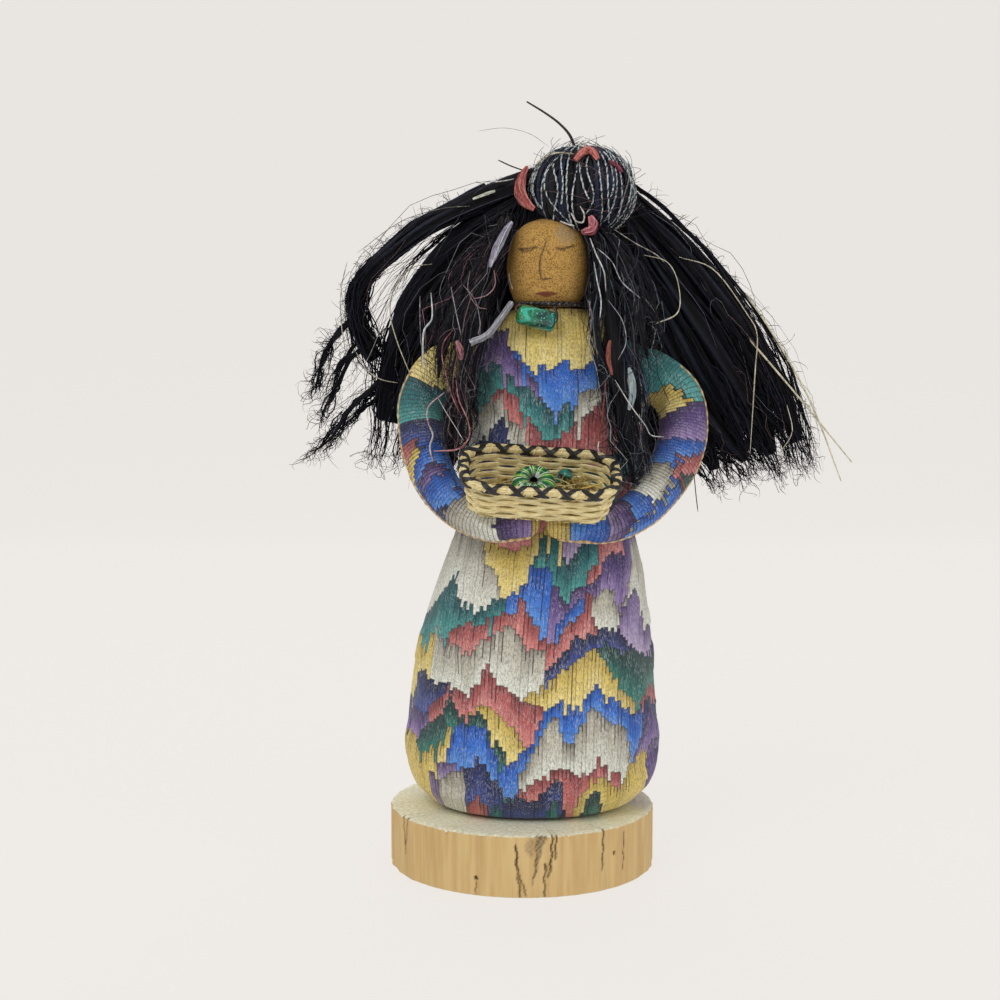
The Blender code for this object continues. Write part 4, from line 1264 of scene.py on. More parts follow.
@dataclass
class Hold:
    """The basket's own frame: where its underside lies on the hands, and how it tilts."""

    place: tuple = (0.004875, -0.03974, 0.14164)
    tilt_deg: float = 24.0
    roll_deg: float = 4.0
    length: float = 0.0560
    depth: float = 0.0340
    height: float = 0.0148
    wall: float = 0.0014
    flare: float = 0.0035
    corner: float = 0.0120
    rim_width: float = 0.0032
    rim_height: float = 0.0030

    def axes(self) -> Array:
        """The basket's own axes.

        Returns:
            The long axis, the axis towards the doll and the axis out of the mouth, as rows.
        """
        tilt, roll = math.radians(self.tilt_deg), math.radians(self.roll_deg)
        long_axis = np.array([math.cos(roll), 0.0, -math.sin(roll)])
        back = np.array([0.0, math.cos(tilt), math.sin(tilt)])
        back = unit(back - long_axis * (long_axis @ back))
        return np.stack([long_axis, back, np.cross(long_axis, back)])

    def outside(self, local: Array) -> Array:
        """Places points given along the basket's axes from its underside's middle."""
        return np.asarray(self.place) + local @ self.axes()

    def inside(self, points: Array) -> Array:
        """Reads points along the basket's axes from its underside's middle."""
        return (points - np.asarray(self.place)) @ self.axes().T

    def path(self, outset: Array, share: Array) -> Array:
        """Walks the basket's rounded rectangle.

        Straight runs and quarter arcs follow each other, and a share of their length picks the
        point. The corners grow with the outset from the wall's foot.

        Args:
            outset: How far out, for each point.
            share: Shares of the way round, anticlockwise from the right end's middle.

        Returns:
            The points' x and y along the basket's axes, and the outward direction's x and y.
        """
        half_x = self.length / 2 - self.flare
        half_y = self.depth / 2 - self.flare
        corner = self.corner - self.flare
        flat_x, flat_y = half_x - corner, half_y - corner
        arc = corner * math.pi / 2
        runs = np.array([flat_y, arc, 2 * flat_x, arc, 2 * flat_y, arc, 2 * flat_x, arc, flat_y])
        ends = np.concatenate([[0.0], np.cumsum(runs)])
        at = np.mod(share, 1.0) * ends[-1]
        leg = np.clip(np.searchsorted(ends, at, side="right") - 1, 0, 8)
        part = (at - ends[leg]) / runs[leg]
        turn = ((leg + 1) // 2 + np.where(leg % 2 == 1, part - 1, 0.0)) * math.pi / 2
        x = np.select([leg == 2, leg == 6, (leg == 3) | (leg == 4) | (leg == 5)],
                      [flat_x * (1 - 2 * part), flat_x * (2 * part - 1), -flat_x], flat_x)
        y = np.select([leg == 0, leg == 4, leg == 8, (leg >= 5) & (leg <= 7)],
                      [flat_y * part, flat_y * (1 - 2 * part), flat_y * (part - 1), -flat_y], flat_y)
        out = np.stack([np.cos(turn), np.sin(turn)], -1)
        return np.stack([x, y], -1) + out * (corner + outset)[..., None], out

    def pressed(self, points: Array, gap: float = 0.0004) -> Array:
        """Pushes cloth points out of the basket, down or sideways, whichever is nearer.

        Args:
            points: Points in the part's frame.
            gap: The gap to keep.

        Returns:
            The points, clear of the basket.
        """
        local = self.inside(points)
        rise = np.clip(local[..., 2] / self.height, 0, 1)
        wider = self.rim_width / 2 * (rise > 0.7) - self.flare * (1 - rise) + gap
        half_x, half_y = self.length / 2 + wider, self.depth / 2 + wider
        deep = np.stack([
            local[..., 2] + gap, half_x - np.abs(local[..., 0]), half_y - np.abs(local[..., 1]),
            self.height + gap - local[..., 2],
        ], -1)
        within = deep.min(-1) > 0
        down, side, front = (within & (np.argmin(deep[..., :3], axis=-1) == way) for way in range(3))
        local[..., 2] = np.where(down, -gap, local[..., 2])
        local[..., 0] = np.where(side, np.sign(local[..., 0]) * half_x, local[..., 0])
        local[..., 1] = np.where(front, np.sign(local[..., 1]) * half_y, local[..., 1])
        return self.outside(local)


HAND_Y, HAND_Z, HAND_DROP, HAND_RADIUS = -160, 447, 3, 24
RIGHT_ARM_LINE = (
    (-83, 10, 694, 26), (-125, 6, 668, 34), (-151, -4, 625, 35.2), (-152, -20, 578, 35.2),
    (-140, -50, 530, 34.4), (-118, -85, 490, 31.6), (-87, -120, 462, 28.4), (-50, -147, HAND_Z, 25.6),
    (-13, HAND_Y, HAND_Z, HAND_RADIUS), (9, HAND_Y, HAND_Z, 20),
)
LEFT_ARM_LINE = (
    (155, 10, 690, 26), (201, 6, 660, 34.8), (237, -4, 625, 36.8), (242, -20, 575, 37.6),
    (226, -48, 530, 36.8), (198, -82, 493, 34.2), (166, -114, 464, 30.8), (125, -143, 446, 26.8),
    (85, HAND_Y, HAND_Z - HAND_DROP, HAND_RADIUS), (46, HAND_Y, HAND_Z - HAND_DROP, 20),
)


@dataclass
class Sleeve:
    """One stuffed arm: stitch columns run round it, and a piped seam along its outer edge."""

    side: str
    line: tuple
    chart: tuple
    outer_sign: float
    hold: Hold
    around: int = 104
    halves: int = 2
    piping_radius: float = 0.00072
    seam_deg: float = 16.0
    seam_start: float = 0.2
    cap_mm: float = 0.9

    def centreline(self) -> Array:
        """Reads the arm's line at even lengths, a part of a stitch apart.

        Returns:
            Rows of centre and radius.
        """
        fine = smooth_rows(share_line(self.line), 400)
        run = run_along(fine[:, :3])
        at = np.arange(0, run[-1], STITCH_PITCH / self.halves)
        return np.column_stack([np.interp(at, run, fine[:, i]) for i in range(4)])

    def grid(self, rows: Array, columns: int) -> Array:
        """Rings of points round the arm, from its outer edge to the front, inner side and back.

        A ring's point is the centre plus the radius times the cosine of the turn outwards and
        its sine forwards, both square to the arm.

        Args:
            rows: Centres and radii.
            columns: Points in a ring.

        Returns:
            Rings by points by three.
        """
        along = unit(np.gradient(rows[:, :3], axis=0))
        front = unit(-BACK + along * (along @ BACK)[:, None])
        outer = np.cross(along, front) * self.outer_sign
        turn = even_turns(columns)
        return rows[:, None, :3] + about(turn, outer[:, None], front[:, None]) * rows[:, None, 3:]

    def rounded(self, rows: Array, steps: int = 7) -> Array:
        """Adds rings that close each end as a half ball.

        Args:
            rows: Centres and radii.
            steps: Rings at each end.

        Returns:
            The longer rows.
        """
        turn = np.linspace(0, math.pi / 2, steps + 2)[1:-1]
        ends = []
        for end, before in ((rows[0], rows[1]), (rows[-1], rows[-2])):
            way = unit(end[:3] - before[:3])
            centres = end[:3] + np.sin(turn)[:, None] * way * end[3] * 0.8
            ends.append(np.column_stack([centres, np.cos(turn) * end[3]]))
        return np.concatenate([ends[0][::-1], rows, ends[1]])

    def build(self, cloth: Material, cord: Material) -> None:
        """Makes the sleeve and its piping.

        Args:
            cloth: The printed cloth.
            cord: The piping's finish.
        """
        rows = self.centreline()
        full = self.rounded(rows)
        extra = (len(full) - len(rows)) // 2
        coarse_rows = full[np.linspace(0, len(full) - 1, 36).astype(int)]
        coarse = self.grid(coarse_rows, 24)
        held = np.zeros(coarse.shape[:2])
        held[:2] = held[-2:] = 1.0
        held[:, int(self.seam_deg / 15.0) % 24] = 1.0
        move = stuffed(f"{self.side}_sleeve_form", coarse, held, 3.0, self.cap_mm, 0.05)
        points = self.grid(full, self.around)
        down = np.broadcast_to(np.linspace(0, 1, len(full))[:, None], points.shape[:2])
        turn_share = np.broadcast_to(np.arange(self.around) / self.around, points.shape[:2])
        points = self.hold.pressed(points + read_wrapped(move, down, turn_share))

        stitches = len(full) // self.halves + 1
        along = (np.arange(stitches) + 0.5) * STITCH_PITCH / MM - extra / self.halves * STITCH_PITCH / MM
        degrees = (np.arange(self.around) + 0.5) * 360.0 / self.around
        degrees = np.where(degrees > 180, degrees - 360, degrees)
        across, run = np.meshgrid(degrees, along)
        found = flames_at(self.chart, across, run, 21 + (self.outer_sign > 0), False, 0.8)
        colour, lines = stitch_cells(self.chart, found, STITCH_PITCH / MM, 23)
        ends = (found != np.roll(found, 1, axis=1)).astype(float)
        hatch = lines[:, :, 0]
        before = np.where(lines[:, :, 2] > 0, 0.9, np.where(hatch > 0.5, 0.85, 0.5))
        sides = np.stack([before, np.roll(before, -1, axis=0), np.roll(ends, -1, axis=1), ends], -1)
        stitch_row = np.minimum(np.arange(len(full) - 1) // self.halves, stitches - 1)
        part = (np.arange(len(full) - 1) % self.halves) / self.halves
        colour, sides = colour[stitch_row], sides[stitch_row]
        quads = grid_faces(len(full), self.around, True)
        low = np.broadcast_to(part[:, None], colour.shape[:2])
        high = low + 1.0 / self.halves
        zero, one = np.zeros_like(low), np.ones_like(low)
        cell = np.stack([np.stack(p, -1) for p in ((low, zero), (low, one), (high, one), (high, zero))], -2)
        skin = Skin(f"{self.side}_sleeve")
        skin.add(points, [])
        skin.stitch(quads, sides.reshape(-1, 1, 4), cell.reshape(-1, 4, 2), colour.reshape(-1, 1, 3))
        for cap in end_caps(len(full), self.around):
            skin.stitch(cap, np.zeros((1, 1, 4)), np.full((1, 1, 2), 0.5), colour[-1:, :1])
        piece = skin.piece(cloth)
        finish_piece(piece, "flame_stitch_cloth", f"{self.side}_arm")
        self.piping(points, extra, cord)

    def piping(self, points: Array, extra: int, cord: Material) -> None:
        """Lays a thin corded seam along the sleeve's outer edge.

        Args:
            points: The sleeve's grid.
            extra: Rings of its rounded ends.
            cord: The seam's finish.
        """
        column = int(self.seam_deg / 360.0 * self.around) % self.around
        first = int(len(points) * self.seam_start)
        line = points[first:len(points) - extra + 3, column]
        line = smooth_rows(line[::4], len(line))
        skin = Skin(f"{self.side}_sleeve_piping")
        beat = np.arange(len(line))
        dye = np.where((beat % 4 < 2)[:, None], linear("e0c28c"), linear("b8935e"))
        swell = self.piping_radius * (1.0 + 0.18 * np.cos(beat * math.pi / 2))
        tubes(skin, line[None], swell[None], 6, dye[None])
        finish_piece(skin.piece(cord), "flame_stitch_cloth")


def oval_rings(rings: Array, columns: int, power: float) -> Array:
    """Level rings of a rounded oval, at even turns.

    A point is the centre plus the half sizes times the signed powers 2 / power of the cosine
    and the sine of its turn.

    Args:
        rings: Rows of height, centre x, centre y, half width and half depth.
        columns: Points in a ring.
        power: 2 for an ellipse, more for a squarer oval.

    Returns:
        Rings by points by three.
    """
    turn = even_turns(columns) + math.pi / 2
    x = squared(np.cos(turn), 2 / power) * rings[:, 3:4] + rings[:, 1:2]
    y = squared(np.sin(turn), 2 / power) * rings[:, 4:5] + rings[:, 2:3]
    return np.stack([x, y, np.broadcast_to(rings[:, :1], x.shape)], -1)


def pushed_out(points: Array, rings: Array, power: float, gap: float) -> Array:
    """Moves points that lie inside a lofted solid straight out to its skin.

    Args:
        points: Points in rows of x, y and z, in any shape.
        rings: The solid's rings.
        power: How square its rings are.
        gap: How far off the skin they come to lie.

    Returns:
        The points, clear of the solid.
    """
    z = points[..., 2]
    cx, cy, hx, hy = (np.interp(z, rings[:, 0], rings[:, i]) for i in range(1, 5))
    dx, dy = points[..., 0] - cx, points[..., 1] - cy
    level = ((np.abs(dx) / (hx + gap)) ** power + (np.abs(dy) / (hy + gap)) ** power) ** (1 / power)
    inside = (level < 1) & (z > rings[0, 0] - gap) & (z < rings[-1, 0] + gap)
    grow = np.where(inside, 1 / np.maximum(level, 1e-3), 1.0)
    return np.stack([cx + dx * grow, cy + dy * grow, z], -1)


def line_distance(places: Array, line: tuple) -> Array:
    """The distance from each place to a broken line.

    Args:
        places: Rows of two.
        line: The line's turning points.

    Returns:
        The distances.
    """
    line = np.asarray(line, float)
    start, step = line[:-1], np.diff(line, axis=0)
    away = places[:, None] - start[None]
    share = np.clip((away * step).sum(-1) / (step**2).sum(-1), 0, 1)
    return np.linalg.norm(away - share[..., None] * step, axis=-1).min(1)


@dataclass
class Head:
    """The leather head. Its face is drawn in millimetres from the face's foot and middle."""

    power: float = 2.3
    grid_mm: float = 0.44
    line_mm: float = 0.2
    edge_mm: float = 0.22
    nose: tuple = (
        (-1.1, 23.8), (-1.7, 22.0), (-2.9, 18.9), (-3.35, 16.5), (-3.4, 13.7), (-3.1, 10.6), (-2.4, 10.0),
        (0.8, 10.3),
    )
    right_lid: tuple = ((-10.8, 21.4), (-7.8, 21.5), (-4.6, 21.8))
    right_lash: tuple = ((-10.2, 20.6), (-8.4, 20.3), (-6.0, 21.0))
    left_lid: tuple = ((2.9, 21.6), (5.4, 21.4), (7.4, 21.9), (9.2, 22.6))
    left_lash: tuple = ((3.8, 21.0), (6.0, 20.9))
    lips: tuple = ((-4.7, 4.8), (-2.8, 4.8), (-0.9, 4.5), (1.0, 4.8), (2.9, 4.8))
    fleck: tuple = ((-6.3, 24.2), (-5.7, 26.2))
    fleck_radius: float = 0.00028
    worn_middle: tuple = (6.3, 26.8)

    def build(self, leather: Material) -> None:
        """Makes the head, with a slight raised nose, and draws the face on it.

        Args:
            leather: The suede finish.
        """
        rings = smooth_rows(solid_rings("head"), 300)
        count = int((rings[-1, 0] - rings[0, 0]) / (self.grid_mm * MM))
        levels = np.linspace(rings[0, 0], rings[-1, 0], count)
        rings = rings_at(rings, levels)
        columns = int(TURN * rings[:, 3].max() / (self.grid_mm * MM))
        points = oval_rings(rings, columns, self.power)
        flat = points.reshape(-1, 3)
        places = np.stack([flat[:, 0] - rings[0, 1], flat[:, 2] - rings[0, 0]], 1) / MM
        front = smoothstep(0.0, -4.0, (flat[:, 1] - rings[0, 2]) / MM)
        rng = np.random.default_rng(31)
        rough = rng.random(len(flat))

        def drawn(line: tuple, width: float, broken: float = 0.0) -> Array:
            """How strongly a line of a width covers each point, thinned by seeded breaks."""
            cover = smoothstep(width + self.edge_mm, width - 0.05, line_distance(places, line))
            return cover * (1 - broken * rough)

        ink = np.maximum.reduce([
            drawn(self.nose, self.line_mm, 0.1),
            drawn(self.right_lid, 0.34, 0.45), drawn(self.right_lash, 0.3, 0.8),
            drawn(self.left_lid, 0.36, 0.35), drawn(self.left_lash, 0.3, 0.7),
        ]) * 0.9
        lip_line = line_distance(places, self.lips)
        full = 1.35 - 0.75 * np.clip(np.abs(places[:, 0] + 0.85) / 3.6, 0, 1) ** 1.6
        lip = smoothstep(full, full - 0.5, lip_line) * (0.75 + 0.25 * rough)
        parted = drawn(self.lips, 0.1) * 0.45
        away = (places - np.asarray(self.worn_middle)) / (4.4, 4.2)
        worn = smoothstep(1.15, 0.6, np.linalg.norm(away, axis=1)) * 0.85
        nose = smoothstep(2.2, 0.2, line_distance(places, self.nose[:6])) * 0.35
        mouth = smoothstep(1.7, 0.4, lip_line) * 0.25
        lift = (nose + mouth) * front * MM
        moved = flat - BACK * lift[:, None]
        dye = np.stack([np.maximum(ink, parted) * front, lip * front, worn * front], 1)
        skin = Skin("leather_head")
        skin.add(moved, shell_faces(count, columns), dye)
        fleck = np.array([(x * MM + rings[0, 1], 0.0, z * MM + rings[0, 0]) for x, z in self.fleck])
        fleck[:, 1] = rings[0, 2] - np.interp(fleck[:, 2], levels, rings[:, 4]) - 0.00005
        fleck_line = smooth_rows(fleck, 5)[None]
        tubes(skin, fleck_line, self.fleck_radius, 6, np.array([0.0, 0.0, 0.0]))
        finish_piece(skin.piece(leather), "leather", "head")


@dataclass
class Collar:
    """The black cord round the foot of the head and the glass bead that hangs at its front."""

    cord_radius: float = 0.00095
    twist_pitch: float = 0.0042
    bead_half: float = 0.00725
    bead_radius: float = 0.0040
    bead_tilt_deg: float = 14.0
    loop_radius: float = 0.00055
    loop_top: float = 0.2142

    def cord(self, yarn: Material) -> None:
        """Two plies that turn round each other on an oval path.

        Args:
            yarn: The cord's finish.
        """
        middle, half = middle_and_half("neck_cord")
        half = half - self.cord_radius
        turn = np.linspace(0, TURN * 1.01, 260) + math.pi / 2
        out = np.stack([np.cos(turn), np.sin(turn), 0 * turn], -1)
        path = middle + out * half
        beats = TURN * half[:2].mean() / self.twist_pitch
        skin = Skin("neck_cord_twisted")
        for ply in range(2):
            wind = (turn - turn[0]) * round(beats) + ply * math.pi
            centres = path + about(wind, out, UP) * self.cord_radius * 0.45
            fleck = np.random.default_rng(41 + ply).random((1, len(turn), 1)) < 0.12
            dye = np.where(fleck, linear("6a5a58"), linear("17100f"))
            tubes(skin, centres[None], self.cord_radius * 0.62, 8, dye)
        finish_piece(skin.piece(yarn), "black_cord", "neck_cord")

    def bead(self, glass: Material, yarn: Material) -> None:
        """A lumpy glass cylinder with rounded ends, light green at one end and teal at the other, with thin
        pale streaks painted on as highlights.

        Args:
            glass: The foil glass.
            yarn: The finish of the thread loops that hold it.
        """
        tilt = math.radians(self.bead_tilt_deg)
        along = np.array([math.cos(tilt), 0.0, -math.sin(tilt)])
        middle, _ = middle_and_half("neck_bead")
        t = np.linspace(-1, 1, 70)
        size = np.sqrt(1 - (np.maximum(np.abs(t) - 0.78, 0) / 0.22) ** 2 * 0.62)
        columns = 64
        turn = even_turns(columns)
        spread = about(turn, BACK, np.cross(along, BACK))
        dents = 0.02 * (np.sin(9 * t[:, None] - 3 * turn) > 0.85)
        wave = 1 + 0.018 * np.sin(5 * t[:, None] + 2 * turn) - dents
        radius = self.bead_radius * 0.97 * size[:, None] * wave
        points = middle + (along * self.bead_half * t[:, None])[:, None] + spread * radius[..., None]
        share = (t[:, None, None] + 1) / 2
        swirl = 0.5 + 0.5 * np.sin(7 * share[..., 0] + 2 * turn + 1.3 * np.sin(3 * turn))
        dye = linear("1f7a3e") * (1 - share) + linear("0c5f5c") * share
        # Painted highlight: where the swirl peaks, thin pale teal streaks stand in for reflections on the
        # glass.
        painted_highlight = smoothstep(0.86, 1.0, swirl)[..., None]
        dye = dye * (1 - painted_highlight) + linear("35b39a") * painted_highlight
        deep = smoothstep(0.4, 0.05, swirl)[..., None] * 0.75
        dye = dye * (1 - deep) + linear("05261f") * deep
        skin = Skin("foil_glass_bead")
        skin.add(points, shell_faces(len(t), columns), dye)
        finish_piece(skin.piece(glass), "green_glass", "neck_bead")
        loops = Skin("bead_loops")
        for sign, code in ((-1.0, "6b3f22"), (1.0, "2a1a16")):
            end = middle + along * self.bead_half * sign
            up = np.array([end[0] - 0.001 * sign, middle[1] + 0.0026, self.loop_top])
            knot = end + along * 0.0004 * sign + 0.001 * UP
            bend = (knot + up) / 2 + (0.0008 * sign, 0, 0)
            line = smooth_rows(np.array([end - along * 0.001 * sign, knot, bend, up]), 16)
            tubes(loops, line[None], self.loop_radius, 8, linear(code))
        finish_piece(loops.piece(yarn), "black_cord")


@dataclass
class Basket:
    """The woven basket: stakes, flat weavers, a floor of crossed splints and a laced rim."""

    hold: Hold
    stakes: int = 18
    weavers: int = 7
    weaver_half: float = 0.00074
    weaver_thick: float = 0.00052
    weave_swing: float = 0.00066
    lacing_turns: int = 16
    lace_radius: float = 0.0005
    wrap_turns: int = 44
    wrap_radius: float = 0.0005
    stake_radius: float = 0.00042
    splints_long: int = 8
    splints_short: int = 15
    splint_flat: float = 0.16
    rim_middle: float = 0.01325
    lace_shift: float = 0.0042

    def wall(self, rise: Array) -> Array:
        """The middle of the wall's outset at a height over the underside."""
        return self.hold.flare * rise / self.hold.height - self.hold.wall * 0.55

    def band(self, skin: Skin, rise: Array, outset: Array, share: Array, half: tuple, shade: Array) -> None:
        """Adds one hoop of cane whose section is a flattened oval.

        Args:
            skin: The mesh.
            rise: Its height at each share.
            outset: Its outset at each share.
            share: Shares of the way round.
            half: Its half height and half thickness.
            shade: Its shade at each share.
        """
        turn = even_turns(8)
        up, out = squared(np.sin(turn), 0.6) * half[0], squared(np.cos(turn), 0.6) * half[1]
        flat, _ = self.hold.path(outset[:, None] + out, np.broadcast_to(share[:, None], (len(share), 8)))
        local = np.concatenate([flat, (rise[:, None] + up)[..., None]], -1)
        dye = np.repeat(shade, 8)[:, None]
        skin.add(self.hold.outside(local), [round_faces(len(share), 8)], dye)

    def build(self, cane: Material, lace: Material) -> None:
        """Weaves the basket, then laces its rim.

        Args:
            cane: The split cane.
            lace: The black lacing's finish.
        """
        hold, rng = self.hold, np.random.default_rng(51)
        skin = Skin("woven_basket")
        share = np.arange(self.stakes * 12) / (self.stakes * 12)
        top = hold.height - hold.rim_height
        for row in range(self.weavers):
            rise = 0.0009 + (top - 0.0012) * (row + 0.5) / self.weavers
            swing = self.weave_swing * np.cos(math.pi * self.stakes * share + math.pi * row)
            wander = 0.00014 * np.sin(TURN * (3 * share + rng.random()))
            shade = 0.8 + 0.2 * rng.random() + 0.06 * np.sin(TURN * (7 * share + rng.random()))
            half = (self.weaver_half, self.weaver_thick)
            self.band(skin, rise + wander, self.wall(rise) + swing, share, half, shade)
        at = np.linspace(0.0002, top + 0.0006, 14)
        spots = (np.arange(self.stakes) + 0.5) / self.stakes
        rise = np.broadcast_to(at, (self.stakes, len(at)))
        flat, _ = hold.path(self.wall(rise), np.broadcast_to(spots[:, None], rise.shape))
        shades = 0.72 + 0.2 * rng.random((self.stakes, 1, 1))
        centres = hold.outside(np.concatenate([flat, rise[..., None]], -1))
        tubes(skin, centres, self.stake_radius, 6, shades)
        self.floor(skin, rng)
        middle = self.wall(np.array([hold.height]))[0]
        rim = np.arange(240) / 240
        for outset, rise, half, tone in (
            (0.00095, 0.0134, (0.00118, 0.0004), 0.98), (-0.00095, 0.0132, (0.00112, 0.0004), 0.9),
            (0.0, 0.01395, (0.0007, 0.0008), 0.86),
        ):
            wander = 0.00012 * np.sin(TURN * (5 * rim + rng.random()))
            shade = tone + 0.05 * np.sin(TURN * (9 * rim + rng.random()))
            self.band(skin, rise + wander, np.full(240, middle + outset), rim, half, shade)
        wraps = self.wound(self.wrap_turns, 1.0, middle, 0.0014, 0.0012, 1060)
        pale = np.array([0.92, 0.9, 0.84])
        tubes(skin, wraps[None], self.wrap_radius, 6, pale, flat=0.5)
        finish_piece(skin.piece(cane), "wicker", "basket")
        self.lacing(middle, lace)

    def floor(self, skin: Skin, rng: Generator) -> None:
        """Crosses flat splints over and under each other on the basket's floor.

        Args:
            skin: The mesh.
            rng: Seeded numbers.
        """
        half_x, half_y = self.hold.length / 2 - self.hold.flare, self.hold.depth / 2 - self.hold.flare
        corner = self.hold.corner - self.hold.flare
        for lengthwise, count, crossed in (
            (True, self.splints_long, self.splints_short), (False, self.splints_short, self.splints_long),
        ):
            reach, spread = (half_x, half_y) if lengthwise else (half_y, half_x)
            spots = (np.arange(count) + 0.5) / count * 2 - 1
            cut = np.maximum(0, np.abs(spots) * spread - (spread - corner))
            ends = reach - corner + np.sqrt(np.clip(corner**2 - cut**2, 0, None)) - 0.0006
            t = np.linspace(-1, 1, 36)
            run = ends[:, None] * t
            beat = run / spread * crossed / 2
            lift = 0.00022 * np.cos(math.pi * (beat + np.arange(count)[:, None]))
            side = np.broadcast_to((spots * spread)[:, None], run.shape)
            local = np.stack([run, side, 0.0006 + lift] if lengthwise else [side, run, 0.0006 - lift], -1)
            shades = 0.7 + 0.25 * rng.random((count, 1, 1))
            first = self.hold.axes()[1 if lengthwise else 0]
            tubes(skin, self.hold.outside(local), spread / count * 0.9, 8, shades, first, self.splint_flat)

    def wound(
        self, turns: int, way: float, middle: float, out: float, up: float, count: int, shift: float = 0.0,
    ) -> Array:
        """Winds a line round the rim: a circle squared a little, carried along the rim's path.

        Args:
            turns: How often it winds.
            way: 1 or -1, the way it winds.
            middle: The rim's outset.
            out: Its reach outwards.
            up: Its reach upwards.
            count: Its points.
            shift: Its start, as a share of the rim.

        Returns:
            The line's points.
        """
        share = np.linspace(0, 1.001, count) + shift
        wind = way * TURN * turns * (share - shift - 0.755)
        outset = middle + squared(np.cos(wind), 0.7) * out
        rise = self.rim_middle + squared(np.sin(wind), 0.7) * up
        flat, _ = self.hold.path(outset, share)
        return self.hold.outside(np.concatenate([flat, rise[:, None]], -1))

    def lacing(self, middle: float, lace: Material) -> None:
        """Winds two black laces round the rim in opposite ways, so that they cross outside.

        Args:
            middle: The rim's outset.
            lace: Their finish.
        """
        skin = Skin("rim_lacing")
        for way, out in ((1.0, 0.0016), (-1.0, 0.0019)):
            for shift in (-self.lace_shift, 0.0, self.lace_shift):
                centres = self.wound(self.lacing_turns, way, middle, out, 0.0014, 520, shift)
                tubes(skin, centres[None], self.lace_radius, 5, linear("120e0c"))
        finish_piece(skin.piece(lace), "black_cord")


